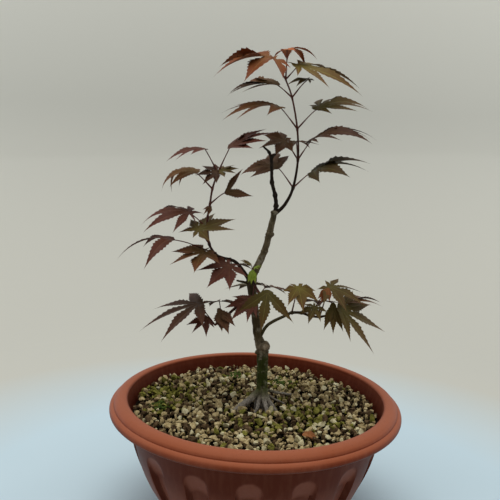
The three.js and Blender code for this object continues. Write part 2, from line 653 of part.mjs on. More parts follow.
const massColors = {
  leader: 0x6e3a2c, left: 0x63362e, lower_right: 0x6f4030, lower_left: 0x5f3429, front: 0x84462f,
  back: 0x68382c, green: 0x8fa43c,
};
const placed = [trunk, deadSpur, ...boughs.values()];
const masses = new Map();
Object.keys(leaves).forEach((name, index) => {
  const mass = leafMass(name, 101 + 7 * index, sleeve, placed);
  placed.push(mass);
  masses.set(name, mass);
});

addPart("bowl", bowlGeometry(), 0x8a4b35, 0.5);
addPart("soil", soilGeometry(), 0x8a7c58, 0.95);
addPart("trunk", geometryOf(trunk), 0x6b5c45, 0.85);
addPart("dead_spur", geometryOf(deadSpur), 0x2b2420, 0.85);
for (const [name, bough] of boughs) {
  addPart(`${name}_bough`, geometryOf(bough), 0x33281f, 0.8);
}
for (const [name, mass] of masses) {
  addPart(`${name}_leaves`, geometryOf(mass), massColors[name], 0.65);
}

export default tree;
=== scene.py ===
# A young bronze-leaved maple, grown as a bonsai in a round fluted bowl of grit.
# Sizes are in millimetres and turns in degrees. Meshes are made from them in metres.
import math
from collections import namedtuple

import bmesh
import bpy
import numpy as np
from mathutils import Matrix, Quaternion, Vector, noise


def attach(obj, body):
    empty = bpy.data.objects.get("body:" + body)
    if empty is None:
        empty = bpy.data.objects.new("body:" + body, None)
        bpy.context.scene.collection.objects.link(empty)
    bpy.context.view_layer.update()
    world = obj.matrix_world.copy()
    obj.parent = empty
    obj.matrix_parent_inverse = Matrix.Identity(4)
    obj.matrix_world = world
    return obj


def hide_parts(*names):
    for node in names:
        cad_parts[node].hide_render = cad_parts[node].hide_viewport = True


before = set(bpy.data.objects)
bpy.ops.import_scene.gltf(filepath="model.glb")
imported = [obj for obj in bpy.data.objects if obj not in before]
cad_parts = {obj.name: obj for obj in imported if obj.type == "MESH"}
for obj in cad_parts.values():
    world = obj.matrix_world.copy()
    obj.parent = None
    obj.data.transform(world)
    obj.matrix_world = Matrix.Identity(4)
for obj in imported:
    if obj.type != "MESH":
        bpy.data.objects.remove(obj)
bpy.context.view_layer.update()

MM = 0.001

# View of the photograph
VIEW_PLACE = (-11.3, -652, 383)
VIEW_DOWN = 8.41
VIEW_ROLL = 2.06
VIEW_SENSOR = 36
VIEW_LENS = 46.8

# Bowl: radii of the wall at depths below the crest, and the rim as radius and drop from the crest
BOWL_HEIGHT = 136
BOWL_WALL = 3
BOWL_FLOOR = 5
BOWL_COLUMNS = 480
PROFILE_STEPS = 7
WALL_DEPTHS = (18, 30, 45, 62, 79, 96, 111, 123, 136)
WALL_RADII = (131, 129, 126.5, 121.5, 114.5, 105.5, 95, 85, 73)
RIM_ROLL = (
    (131.5, 4), (132, 1.5), (134, 0.3), (137, 0), (141, 0.8), (144, 2.8), (145.4, 4.8), (145.8, 6.3))
RIM_BEAD = ((145.8, 6.3), (147.6, 6.9), (149.4, 8.7), (150, 11.2), (149.4, 13.4), (146.8, 15.4))
RIM_UNDERSIDE = (131, 17.4)
FLUTE_COUNT = 16
FLUTE_FIRST_TURN = -92
FLUTE_DEPTH = 6
# Flutes are measured across at this distance from the bowl's axis and narrow below it
FLUTE_RADIUS = 120
FLUTE_HALF_WIDTH = 12
FLUTE_TOP_DEPTH = 34
FLUTE_SLOPE = 18
FLUTE_EDGE = 3
FLUTE_FADE = 20
# How far up surfaces face, from -1 to 1, over which the bowl's painted light and shade change: over the
# outer wall, from it to the inner wall, and over the rim
WALL_FACING = (-0.6, 0.2)
INNER_WALL_FACING = (0.2, 0.3)
RIM_FACING = (-0.6, 1)
# The wall's colours turn into the rim's between these distances from the axis
RIM_START = (130.5, 134)
# Colours in steps of 255, those of the outer wall and of the rim at shares of how far up they face. They are
# painted light and shade: the outer wall is painted paler where it faces down, as painted bounce light from
# below, and darker where it faces outward under the rim, as painted shade; the rim is painted lighter where
# it faces up and darker where it faces down.
WALL_LIT_AND_SHADED_COLORS = ((0, (138, 82, 65)), (0.25, (126, 70, 53)), (0.45, (92, 40, 26)), (1, (92, 40, 26)))
RIM_LIT_AND_SHADED_COLORS = ((0, (94, 38, 22)), (0.45, (124, 54, 31)), (0.8, (152, 82, 54)), (1, (160, 92, 64)))
# The inner wall's colour, darker both with dirt and with painted shade inside the bowl
INNER_WALL_DIRT_AND_SHADE_COLOR = (84, 33, 18)
FADED_COLOR = (164, 100, 76)
STREAK_COLOR = (160, 102, 78)
SPECK_COLOR = (80, 42, 30)
BOWL_GLOSS_COLOR = (255, 176, 140)

# Gloss of every surface, and the part of the reach from 0 to 1 that most of a noise lies in
GLOSS = 0.12
NOISE_REACH = (0.3, 0.7)

# Soil and grit
GROUND = 122
BED_RADIUS = 127
BED_DROP = 6
BED_THICKNESS = 8
BED_RINGS = 40
BED_LUMPS = ((1.1, 9), (0.5, 3))
GRAIN_SHAPES = 16
GRAIN_STRETCH = (0.75, 1.2)
GRAIN_CUTS = 9
GRAIN_CUT_REACH = (0.3, 0.64)
GRAINS_PER_PIECE = 2400
GRAIN_DIAMETERS = (2.6, 10.5)
# How much the grains of a layer differ in diameter and in height
DIAMETER_SPREAD = 0.3
HEIGHT_SPREAD = 0.7
# Shares of the kinds of grains at the top. Deeper grains are painted shade for the gaps between grains:
# below one depth more of them are brown, and below a greater depth all are near black.
PALE_SHARE = 0.16
TAN_SHARE = 0.64
GREEN_SHARE = 0.05
BROWN_SHADE_DEPTH = 0.2
BROWN_SHADE_GAIN = 0.42
GAP_SHADE_DEPTH = 2.6
# The last kind is painted shade: near black grains deep in the gaps
GRIT_KINDS = ("tan", "brown", "pale", "green", "gap_shade")
TAN, BROWN, PALE, GREEN, GAP_SHADE = range(len(GRIT_KINDS))
# How clear the upper grains stay of the middle of the trunk's foot and of the roots
FOOT_CLEARANCE = 9
ROOT_CLEARANCE = 1.1
GrainLayer = namedtuple("GrainLayer", "spacing height diameter")
GRAIN_LAYERS = (
    GrainLayer(5.4, -4.4, 6),
    GrainLayer(6.6, -1.2, 6.4),
    GrainLayer(7.8, 1.5, 6.8),
)
# Places where algae or moss grow on the grit: centre, reach and how thick they lie there
Patch = namedtuple("Patch", "x y reach share")
ALGAE_PATCHES = (
    Patch(-91, 27, 26, 0.75),
    Patch(46, -19, 26, 0.8),
    Patch(67, -32, 18, 0.6),
    Patch(6, -55, 26, 0.5),
    Patch(-98, -14, 14, 0.7),
    Patch(30, 60, 22, 0.4),
)
MOSS_PATCHES = (Patch(-98, -12, 9, 1), Patch(32, 70, 9, 1), Patch(-24, 86, 8, 1))
PALE_STONES = (
    (-43, -47, 8), (-28, -57, 8.5), (-74, -45, 7), (40, -11, 9.5), (33, -35, 7), (78, -41, 10),
    (97, -44, 9), (8, -106, 8), (-57, -58, 7.5), (-12, -80, 6.5), (60, 30, 7), (-50, 62, 7),
)
PALE_STONE_HEIGHT = 1.8
MOSS_TUFTS = 46
TUFT_RADII = (0.9, 1.9)
TUFT_HEIGHTS = (0.4, 2.4)

# Trunk
FOOT = np.array([7.0, 0.0, GROUND])
TRUNK_JOINTS = (
    (7, 0, 118), (6.8, 0, 129), (6.3, 0, 141), (5.9, 0, 161), (5.2, 0, 181), (0.3, 0, 196), (-2.6, 0, 215),
    (-6.2, 0, 236), (-9, 0, 253), (-6.5, 0, 262), (3.3, 0, 286), (7.4, 0, 303), (12, 0, 326),
)
TRUNK_RADII = (8.5, 7.2, 5.7, 5.6, 6.1, 4.4, 4.3, 4.3, 4.6, 3.9, 3.3, 3.2, 3)
Knob = namedtuple("Knob", "center radii")
TRUNK_KNOBS = (
    Knob((5.8, -0.5, 187), (7, 6.8, 5.4)),
    Knob((-8.5, 0, 256), (5.6, 5.4, 5.4)),
    Knob((8.2, -0.4, 303.5), (4.7, 4.3, 3)),
    Knob((12, 0, 325.5), (3.9, 3.7, 2.6)),
    Knob((-0.2, -2.6, 180.5), (2.4, 2.4, 2.1)),
    Knob((9.2, -2.5, 181.5), (2.6, 2.6, 2)),
)
Root = namedtuple("Root", "turn reach height radius")
# How far a root strays to its sides on its way out
ROOT_SWAY = 1.7
SURFACE_ROOTS = (
    Root(208, 34, 17, 4), Root(165, 24, 14, 3), Root(105, 24, 14, 2.8), Root(40, 56, 17, 1.6),
    Root(18, 27, 14, 1.4), Root(-50, 24, 19, 2.6), Root(-77, 23, 19, 2.7), Root(-112, 19, 15, 2.4),
)
STUB_JOINTS = ((-9, 0, 252), (-17, -3, 254), (-24, -4, 255.5))
STUB_RADII = (1.6, 1.3, 1)
TRUNK_VOXEL = 0.5
# Heights of the ring scars round the trunk, and the healed cut on the lowest knob
TRUNK_RINGS = (161, 179.5, 193.5, 264, 286, 300.5, 307)
SCAR_CENTER = np.array([8.6, -6.2, 187.5])
SCAR_RADIUS = 3.2
# Height below which the bark turns lumpy like that of the roots, and the stretch it takes to
ROOT_BARK_TOP = 142
ROOT_BARK_FADE = 12
# Heights and sizes of lumps in the bark: all over the trunk, on its roots, and as shares of a limb's relief
BARK_LUMPS = ((0.45, 6), (0.2, (1.3, 1.3, 9)), (0.18, 1.1))
ROOT_LUMPS = ((0.55, 3.2), (0.3, 1.4))
LIMB_LUMPS = ((1, 2.2), (0.6, 0.9))
# Colours of the trunk's bark in steps of 255, by height
BARK_TOP = 332
BARK_COLORS = (
    (122, (142, 134, 124)), (131, (150, 142, 130)), (137, (108, 104, 80)), (142, (70, 77, 32)),
    (150, (60, 71, 23)), (174, (64, 70, 27)), (179, (92, 86, 60)), (183, (132, 118, 94)),
    (190, (134, 120, 96)), (196, (100, 88, 60)), (206, (84, 72, 46)), (236, (70, 58, 38)),
    (256, (76, 64, 42)), (270, (98, 84, 60)), (300, (106, 92, 68)), (326, (86, 76, 54)),
)
BARK_STREAK_COLOR = (38, 30, 20)
BARK_PATCH_COLOR = (172, 162, 140)
LIMB_PATCH_COLOR = (26, 18, 14)

# Dead spur beside the leader
SPUR_JOINTS = ((12, 0, 324), (13.2, 0, 332), (11.8, -1, 343), (8.2, -3.5, 356), (7, -7, 373), (6, -9, 381.5))
SPUR_RADII = (2.3, 2.1, 1.9, 1.7, 1.6, 1.5)
SPUR_TWIGS = (
    ((6.5, -8.2, 378), (4, -9.5, 385), (-2, -11, 390.5)),
    ((6.3, -8.2, 378), (8, -9, 382), (10.5, -9.5, 383.5)),
)
SPUR_TWIG_RADII = (1.4, 1.2, 0.9)

# Limbs: joints and radii from the trunk to the tip
Limb = namedtuple("Limb", "joints radii")
LIMBS = {
    "leader": Limb(
        ((12.5, 0, 324), (22, 0, 334), (29.5, 0, 351), (33, 0, 379), (31, 0, 409), (24.5, 0, 439),
         (17.5, 0, 456)),
        (2, 1.7, 1.35, 1.1, 0.95, 0.85, 0.75),
    ),
    "left": Limb(
        ((-10.5, 0, 255), (-18, -2, 266), (-25, -4, 274), (-31, -6, 277), (-39, -8, 279), (-46, -10, 283),
         (-52, -12, 293), (-54, -15, 309), (-54, -16, 320), (-52, -17, 333), (-50, -18, 348),
         (-45, -20, 364)),
        (2.2, 1.9, 1.7, 1.6, 1.5, 1.35, 1.2, 1.1, 1.05, 1, 0.95, 0.85),
    ),
    "lower_right": Limb(
        ((2, 0, 196), (10, -2, 210), (28, 0, 220), (34, 0, 223), (44, 1, 223), (53, 2, 220), (63, 3, 219),
         (74, 4, 221), (82, 4, 219)),
        (1.9, 1.7, 1.5, 1.5, 1.4, 1.3, 1.2, 1.1, 0.9),
    ),
    "lower_left": Limb(
        ((-6.5, 0, 232), (-16, -6, 232), (-24, -9, 228), (-37, -13, 216), (-44, -14, 211)),
        (1.8, 1.6, 1.5, 1.3, 1),
    ),
    "front": Limb(((-8, 0, 258), (-5, -10, 252), (1, -14, 244)), (1.3, 1.2, 1)),
    "back": Limb(((-6, 0, 228), (-4, 10, 232), (0, 18, 236)), (1.4, 1.3, 1)),
    "green": Limb(((-8, 0, 262), (-8.5, -7.5, 266), (-8, -10, 269)), (1, 0.9, 0.8)),
}
BOUGHS = ("leader", "left", "lower_right", "lower_left")
GREEN_LIMBS = ("lower_right", "back", "green")
# How much a limb swells at a joint that bears a leaf, and how far along it
JOINT_SWELLING = 0.42
JOINT_REACH = 1.7

# Leaves of each mass: tint, the joint they grow from, the turn, rise and length of the stalk, then the
# blade's tilt and roll, the length of its middle lobe, the droop of its tip, how far its fan is spread,
# the turn of the blade from its stalk, how many lobes it has and how wide they are
Leaf = namedtuple(
    "Leaf", "tint joint turn rise stalk tilt roll size droop spread twist lobes width", defaults=(0, 7, 1))
LEAVES = {
    "leader": (
        Leaf("bronze", 2, 138, 42, 30, 22, -30, 50, 50, 0.9, lobes=5, width=1.1),
        Leaf("dark_olive", 2, -35, 38, 29, 30, 18, 62, 60, 0.9, lobes=5, width=1.2),
        Leaf("bronze", 3, 149, 49, 24, -10, -35, 30, 20, 1.35, 51, width=1.6),
        Leaf("umber", 3, -22, 55, 24, 38, 14, 70, 84, 0.55, width=0.66),
        Leaf("bronze", 3, 94, 43, 27, 1, 0, 40, 25, 1),
        Leaf("copper", 4, 212, 41, 30, 10, -11, 66, 57, 0.6, lobes=5, width=0.66),
        Leaf("olive", 4, 25, 43, 32, 27, 15, 64, 50, 0.75, width=0.74),
        Leaf("copper", 5, 147, 34, 24, 11, -24, 58, 52, 0.5, 18, 5, 1.2),
        Leaf("olive", 5, 33, 46, 27, 0, -15, 24, 40, 1.2, 150),
        Leaf("rust", 6, 210, 49, 25, 5, -20, 66, 57, 1.05, width=1.6),
        Leaf("gold", 6, 13, 46, 19, 3, 22, 77, 41, 0.95, width=0.7),
        Leaf("ember", 6, 73, 86, 29, 18, -6, 38, 72, 1, -13, width=1.15),
    ),
    "left": (
        Leaf("red", 3, 267, -21, 11, -20, -22, 38, 14, 1.15, -32, width=1.3),
        Leaf("bronze", 3, 85, -25, 15, -10, 0, 38, 20, 1),
        Leaf("red", 5, 193, 18, 47, 10, -6, 56, 66, 1.6, lobes=3, width=0.7),
        Leaf("copper", 5, 221, 11, 15, -12, -16, 40, 16, 1.25, -5, width=1.7),
        Leaf("olive", 6, 229, 43, 22, 22, 16, 44, 12, 1.15, 155, width=1.1),
        Leaf("bronze", 6, 110, 35, 22, -7, 0, 36, 14, 1),
        Leaf("red", 7, 171, 37, 24, 14, -15, 58, 60, 1.1, width=0.7),
        Leaf("bronze", 8, -33, 70, 11, -40, -30, 11, 10, 1, -127, 3, 1.8),
        Leaf("bronze", 9, -18, 38, 21, 56, 62, 30, 15, 1.7, 18, 2, 1),
        Leaf("copper", 10, 157, 38, 26, 24, -14, 50, 130, 0.95, lobes=5, width=0.75),
        Leaf("olive", 11, -52, 19, 5, 14, 25, 20, 12, 1, 52, 5, 1.6),
        Leaf("umber", 11, 248, 8, 4, -2, -40, 22, 20, 1.2, -58, width=1.6),
        Leaf("red", 11, 201, 57, 26, 4, -4, 43, 52, 0.6, lobes=5, width=0.85),
        Leaf("red", 11, -30, 61, 29, 30, 26, 48, 25, 0.7, 20, 5, 1.2),
    ),
    "lower_right": (
        Leaf("gold", 3, 299, 72, 30, -28, 0, 30, 25, 1.1, -14, width=1.4),
        Leaf("olive", 4, -35, 30, 18, -30, -10, 22, 20, 1.2, -85, width=1.3),
        Leaf("rust", 5, -20, 60, 35, -40, -20, 18, 15, 0.7, -100, 3, 1.3),
        Leaf("olive", 6, 6, 74, 33, -12, 18, 44, 30, 1.1, -26),
        Leaf("bronze", 6, 84, 36, 22, -12, 0, 44, 18, 1),
        Leaf("bronze", 7, 27, 33, 21, 20, 0, 46, 50, 0.6, lobes=5, width=0.8),
        Leaf("olive", 7, -70, 68, 13, -62, 0, 32, 12, 0.6, -20, 3),
        Leaf("olive", 8, -72, 58, 12, -26, 44, 60, 12, 0.95, 87, 5, 0.85),
    ),
    "lower_left": (
        Leaf("bronze", 3, 223, 68, 12, -39, 24, 28, 15, 0.4, 83, 3, 1.7),
        Leaf("bronze", 3, 105, 45, 22, -13, 0, 42, 14, 1),
        Leaf("umber", 4, 193, 51, 28, -13, -10, 66, 28, 1.1, lobes=5, width=0.8),
        Leaf("red", 4, 198, 41, 12, -35, -25, 24, 15, 1, 27, 5),
    ),
    "front": (
        Leaf("olive", 2, -31, 19, 8, -59, -12, 43, 10, 1.25, -73, 3, 0.9),
        Leaf("red", 1, 250, -58, 14, -32, -34, 33, 15, 0.8, -32, 5),
    ),
    "back": (
        Leaf("bronze", 2, 55, 30, 16, -12, 0, 44, 18, 1),
        Leaf("olive", 2, 118, 30, 18, -12, 0, 42, 18, 1),
    ),
    "green": (
        Leaf("olive", 2, 188, 65, 5, 30, -20, 12, 20, 0.7, lobes=5, width=1.4),
        Leaf("green", 2, -35, 40, 3, 20, 20, 10, 30, 0.8, lobes=5),
        Leaf("green", 2, 270, -10, 5, -50, 0, 15, 20, 0.4, lobes=5, width=1.3),
    ),
}
# The dry leaf on the grit, and where its heart lies
FALLEN_LEAF = Leaf("rust", 0, 20, 0, 0, 4, 14, 17, 55, 0.5, width=1.5)
FALLEN_PLACE = (45, -80, GROUND + 4.6)
# Seed of the first mass of leaves, and the step from one mass's seed to the next
FIRST_SEED = 101
SEED_STEP = 7
# Leaf blade: each lobe's turn, and its length and droop as shares of the middle lobe's
Lobe = namedtuple("Lobe", "turn length droop")
LEAF_LOBES = (
    Lobe(-118, 0.34, 0.3), Lobe(-74, 0.66, 0.5), Lobe(-36, 0.9, 0.85), Lobe(0, 1, 1),
    Lobe(36, 0.9, 0.85), Lobe(74, 0.66, 0.5), Lobe(118, 0.34, 0.3),
)
TURN_JITTER = 5
LENGTH_JITTER = 0.07
DROOP_JITTER = 0.12
LOBE_WIDTH = 0.134
LOBE_BELLY = 0.44
LOBE_TAPER = 1.7
LOBE_SHOULDER = 0.7
LOBE_START_REACH = (0.02, 0.4)
LOBE_TWIST = 24
NOTCH_SHARE = 0.14
NOTCH_REACH = 0.035
LEAF_FOLD = 0.22
LEAF_HEEL = 0.09
HEEL_TURN = 155
LEAF_THICKNESS = 0.36
PALM_ROWS = (0, 0.3, 0.65)
LOBE_ROWS = 21
TOOTH_HEIGHT = 0.28
TOOTH_LEAN = 0.4
TOOTH_END = 0.97
MIDRIB_HALF_WIDTH = 0.25
MIDRIB_HEIGHT = 0.12
SIDE_COLUMN = 0.56
# Which of the strips side by side along a lobe are its midrib
MIDRIB_STRIPS = (0, 0, 1, 1, 0, 0)
RIPPLE_HEIGHT = 0.07
RIPPLE_WAVES = 9
QUILT_HEIGHT = 0.22

# Stalks and buds
STALK_RADIUS = 0.5
STALK_FOOT_RADIUS = 0.85
STALK_ARCH = 0.04
SMALL_LEAF = 15
SMALL_STALK_SHARE = 0.7
BUD_LENGTH = 2.2
BUD_RADIUS = 0.65
BUD_TAPER = (0.6, 0.85, 1, 1, 0.92, 0.76, 0.55, 0.3, 0.08)
SHORTEST_STALK_WITH_BUD = 6

# Stage and light
FLOOR_RADIUS = 700
COVE = 500
WALL_HEIGHT = 1500
# The floor's own colour ends between these distances from the axis, and the wall's goes by height
FLOOR_EDGE = (330, 560)
FLOOR_COLORS = ((199, 219, 227), (202, 222, 230))
BACKDROP_COLORS = ((0, (204, 203, 192)), (450, (226, 225, 214)), (900, (242, 241, 230)))
# Strength of the sky, what is added toward the back and taken off in front, and what is added at the sides
SKY_STRENGTH = 0.22
SKY_BACK = 0.22
SKY_SIDES = 0.82
SKY_COLOR = (0.93, 0.97, 1, 1)
LAMP_PLACE = (-200, -400, 3300)
LAMP_AIM = (0, 0, 150)
LAMP_SIZE = 3400
LAMP_POWER = 77
LAMP_COLOR = (1, 0.985, 0.96)

# Each tint's colours in steps of 255: blade near the heart, blade near the tips, underside, veins. The
# underside colour is partly the paler real underside and partly painted light: brightened for undersides
# that lie in shade, and in rust far brighter than the top, as painted light shining through the leaf.
Tint = namedtuple("Tint", "heart tip under vein")
TINTS = {
    "bronze": Tint((92, 68, 40), (98, 60, 42), (98, 72, 46), (118, 90, 56)),
    "copper": Tint((100, 76, 38), (108, 62, 38), (106, 80, 46), (126, 96, 54)),
    "olive": Tint((90, 80, 38), (94, 66, 34), (94, 84, 46), (120, 108, 58)),
    "red": Tint((90, 54, 36), (96, 50, 40), (94, 62, 44), (116, 76, 54)),
    "umber": Tint((70, 49, 29), (78, 46, 32), (74, 51, 35), (98, 74, 48)),
    "dark_olive": Tint((64, 58, 27), (72, 51, 26), (68, 60, 33), (96, 86, 46)),
    # Rust's underside is painted light: far brighter than its top, standing in for light shining through the
    # leaf
    "rust": Tint((130, 84, 42), (124, 64, 36), (166, 100, 54), (150, 98, 54)),
    "ember": Tint((176, 106, 58), (168, 88, 50), (182, 112, 62), (184, 118, 66)),
    "gold": Tint((118, 104, 46), (104, 64, 36), (118, 100, 48), (142, 128, 64)),
    "green": Tint((108, 130, 36), (132, 144, 48), (104, 120, 40), (150, 162, 70)),
}

# Mottled materials: shades in steps of 255, size of their patches, roughness, size and depth of the relief
Mottle = namedtuple("Mottle", "shades patch roughness grain depth")
MOTTLES = {
    # The soil's near black is partly its own dark brown and partly painted shade in the gaps between grains
    "soil_with_gap_shade": Mottle(((16, 13, 8), (28, 23, 15), (40, 33, 22)), 4, 0.95, 1, 0.4),
    "grit_tan": Mottle(((122, 105, 70), (174, 154, 110), (214, 198, 154)), 4, 0.9, 0.8, 0.3),
    "grit_brown": Mottle(((50, 38, 25), (82, 64, 43), (118, 97, 68)), 4, 0.92, 0.8, 0.3),
    "grit_pale": Mottle(((172, 160, 120), (204, 194, 154), (220, 212, 180)), 5, 0.88, 0.7, 0.25),
    "grit_green": Mottle(((70, 68, 26), (114, 110, 46), (152, 146, 74)), 4, 0.9, 0.8, 0.3),
    # Near black grains deep in the gaps: painted shade
    "grit_gap_shade": Mottle(((18, 14, 8), (30, 24, 14), (46, 37, 23)), 4, 0.95, 0.8, 0.3),
    "moss": Mottle(((46, 62, 24), (70, 88, 34), (96, 108, 48)), 2, 0.95, 0.5, 0.3),
    "healed_cut": Mottle(((134, 116, 92), (168, 150, 124), (186, 170, 146)), 2.5, 0.85, 0.7, 0.15),
    "dead_bark": Mottle(((24, 19, 16), (40, 32, 26), (62, 52, 42)), 2.5, 0.9, 0.6, 0.2),
    "red_stalk": Mottle(((70, 36, 32), (96, 52, 44), (112, 68, 52)), 6, 0.55, 0.7, 0.05),
    "red_bud": Mottle(((66, 30, 28), (102, 48, 42), (124, 70, 56)), 1.2, 0.55, 0.5, 0.06),
    "dry_vein": Mottle(((126, 82, 48), (168, 118, 76)), 2, 0.7, 0.7, 0.05),
}
for tint, colors in TINTS.items():
    MOTTLES[f"{tint}_vein"] = Mottle((colors.heart, colors.vein), 3, 0.6, 0.8, 0.05)

UP = np.array([0.0, 0.0, 1.0])
Shape = namedtuple("Shape", "corners triangles uv material")
# Corners that agree to one part in this many of a millimetre are made one
WELD_PARTS = 2000


# Numbers and small geometry

class SeededRandom:
    """Repeatable numbers from 0 to 1, in the same run for the same seed."""

    def __init__(self, seed):
        self.state = seed

    def draw(self):
        self.state = (self.state * 1664525 + 1013904223) % 2**32
        return self.state / 2**32

    def sway(self):
        return 2 * self.draw() - 1


def unit(vectors):
    """A vector, or each row of several, at a length of 1."""
    vectors = np.asarray(vectors, float)
    return vectors / np.linalg.norm(vectors, axis=-1, keepdims=True)


def smooth_step(value):
    value = np.clip(value, 0, 1)
    return value * value * (3 - 2 * value)


def hump(distance, reach):
    """A round hill: 1 at no distance, falling to nothing over about two reaches."""
    return np.exp(-((distance / reach) ** 2))


def direction_of(turn, rise):
    turn = math.radians(turn)
    rise = math.radians(rise)
    level = math.cos(rise)
    return np.array([level * math.cos(turn), level * math.sin(turn), math.sin(rise)])


def curve_points(joints, shares):
    """Points of the smooth curve through joints, at shares of the way along it."""
    joints = np.asarray(joints, float)
    padded = np.vstack([2 * joints[0] - joints[1], joints, 2 * joints[-1] - joints[-2]])
    place = np.asarray(shares, float) * (len(joints) - 1)
    step = np.clip(place.astype(int), 0, len(joints) - 2)
    along = (place - step)[:, None]
    before, first, second, after = (padded[step + offset] for offset in range(4))
    slope_in = (second - before) / 2
    slope_out = (after - first) / 2
    cubic = 2 * first - 2 * second + slope_in + slope_out
    square = 3 * second - 3 * first - 2 * slope_in - slope_out
    return ((cubic * along + square) * along + slope_in) * along + first


def noise_at(points, size):
    """Smooth noise from about -1 to 1 at each point, with bumps of a size, one number or one per axis."""
    return np.array([noise.noise(Vector(point)) for point in points / np.asarray(size, float)])


def lumpy(points, lumps):
    """Relief at each point from several noises, as pairs of a height and a size."""
    return sum(height * noise_at(points, size) for height, size in lumps)


# Mesh shapes as arrays

def grid_triangles(rows, columns, closed):
    """Triangles between the points of a grid, its last column joined to its first where it is closed."""
    across = columns if closed else columns - 1
    row, column = np.meshgrid(np.arange(rows - 1), np.arange(across), indexing="ij")
    beside = (column + 1) % columns
    first = row * columns + column
    second = row * columns + beside
    third = (row + 1) * columns + beside
    fourth = (row + 1) * columns + column
    quads = np.stack([first, second, third, fourth], -1).reshape(-1, 4)
    return split_quads(quads)


def split_quads(quads):
    return quads[:, [0, 1, 2, 0, 2, 3]].reshape(-1, 3)


def plain_shape(corners, triangles, uv=None):
    uv = np.zeros((len(corners), 2)) if uv is None else uv
    return Shape(np.asarray(corners, float), triangles, uv, np.zeros(len(triangles), int))


def join(shapes):
    starts = np.cumsum([0] + [len(shape.corners) for shape in shapes])
    return Shape(
        np.concatenate([shape.corners for shape in shapes]),
        np.concatenate([shape.triangles + start for shape, start in zip(shapes, starts)]),
        np.concatenate([shape.uv for shape in shapes]),
        np.concatenate([shape.material for shape in shapes]),
    )


def weld(shape):
    """The shape with corners at the same place made one, and triangles of no width left out."""
    places = np.round(shape.corners * WELD_PARTS).astype(np.int64)
    _, first, merged = np.unique(places, axis=0, return_index=True, return_inverse=True)
    triangles = merged.reshape(-1)[shape.triangles]
    whole = (triangles != np.roll(triangles, 1, axis=1)).all(1)
    return Shape(shape.corners[first], triangles[whole], shape.uv[first], shape.material[whole])


def tube(points, radii, sides):
    """A closed round tube along points, with a radius at each."""
    points = np.asarray(points, float)
    along = unit(np.gradient(points, axis=0))
    sideways = (0, 1, 0) if abs(unit(points[-1] - points[0])[1]) < 0.75 else (1, 0, 0)
    across = unit(np.cross(sideways, along))
    over = np.cross(along, across)
    turns = np.linspace(0, 2 * math.pi, sides, endpoint=False)
    spokes = np.cos(turns)[:, None] * across[:, None] + np.sin(turns)[:, None] * over[:, None]
    rings = points[:, None] + spokes * np.asarray(radii, float)[:, None, None]
    ends = [np.repeat(points[end][None, None], sides, axis=1) for end in (0, -1)]
    corners = np.concatenate([ends[0], rings, ends[1]])
    rows = len(corners)
    uv = np.stack(np.meshgrid(np.linspace(0, 1, rows), turns / (2 * math.pi), indexing="ij"), -1)
    triangles = grid_triangles(rows, sides, True)
    return weld(plain_shape(corners.reshape(-1, 3), triangles, uv.reshape(-1, 2)[:, ::-1]))


def limb(joints, radii, sides, pitch, swellings=(), relief=0):
    """A tapering limb along joints, with rings a pitch apart, swollen at some joints, with rough bark."""
    joints = np.asarray(joints, float)
    length = np.linalg.norm(np.diff(joints, axis=0), axis=1).sum()
    shares = np.linspace(0, 1, max(4, int(length / pitch)))
    thickness = np.interp(shares, np.linspace(0, 1, len(radii)), radii)
    for joint in swellings:
        away = (shares - joint / (len(joints) - 1)) * length
        thickness = thickness * (1 + JOINT_SWELLING * hump(away, JOINT_REACH))
    points = curve_points(joints, shares)
    shape = tube(points, thickness, sides)
    if relief:
        nearest = points[np.clip((shape.uv[:, 1] * (len(points) - 1)).round().astype(int), 0, None)]
        outward = shape.corners - nearest
        outward /= np.maximum(np.linalg.norm(outward, axis=1), 0.01)[:, None]
        raised = relief * lumpy(shape.corners, LIMB_LUMPS)
        shape = shape._replace(corners=shape.corners + outward * raised[:, None])
    return shape


def ball(center, radii, levels):
    """An ellipsoid of even triangles."""
    mesh = bmesh.new()
    bmesh.ops.create_icosphere(mesh, subdivisions=levels, radius=1)
    corners = np.array([corner.co[:] for corner in mesh.verts])
    triangles = np.array([[corner.index for corner in face.verts] for face in mesh.faces])
    mesh.free()
    return plain_shape(corners * np.asarray(radii, float) + np.asarray(center, float), triangles)


def turned(profile, columns):
    """A profile of radius and height pairs turned round the upright axis."""
    profile = np.asarray(profile, float)
    turns = np.linspace(0, 2 * math.pi, columns, endpoint=False)
    level = profile[:, 0][:, None]
    corners = np.stack([
        level * np.cos(turns), level * np.sin(turns), np.repeat(profile[:, 1][:, None], columns, axis=1),
    ], -1)
    return plain_shape(corners.reshape(-1, 3), grid_triangles(len(profile), columns, True))


# Pieces

def mesh_of(name, shape):
    mesh = bpy.data.meshes.new(name)
    mesh.from_pydata(shape.corners * MM, [], shape.triangles)
    mesh.polygons.foreach_set("material_index", shape.material)
    mesh.uv_layers.new(name="UVMap").uv.foreach_set("vector", shape.uv[shape.triangles].ravel())
    mesh.validate()
    return mesh


def linked_object(name, data):
    made = bpy.data.objects.new(name, data)
    bpy.context.scene.collection.objects.link(made)
    return made


def add_object(name, shape, materials, sharp_from):
    """An object of one shape, smooth except at edges that turn more than an angle."""
    mesh = mesh_of(name, shape)
    mesh.shade_smooth()
    mesh.set_sharp_from_angle(angle=math.radians(sharp_from))
    for material in materials:
        mesh.materials.append(material)
    return linked_object(name, mesh)


def add_piece(name, shape, materials, replaced, sharp_from):
    piece = add_object(name, shape, materials, sharp_from)
    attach(piece, "root")
    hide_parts(*replaced)


# Materials

def tone(color):
    """Linear colour of a display colour given in steps of 255."""
    shares = np.array(color) / 255
    linear = np.where(shares <= 0.04045, shares / 12.92, ((shares + 0.055) / 1.055) ** 2.4)
    return (*linear.tolist(), 1)


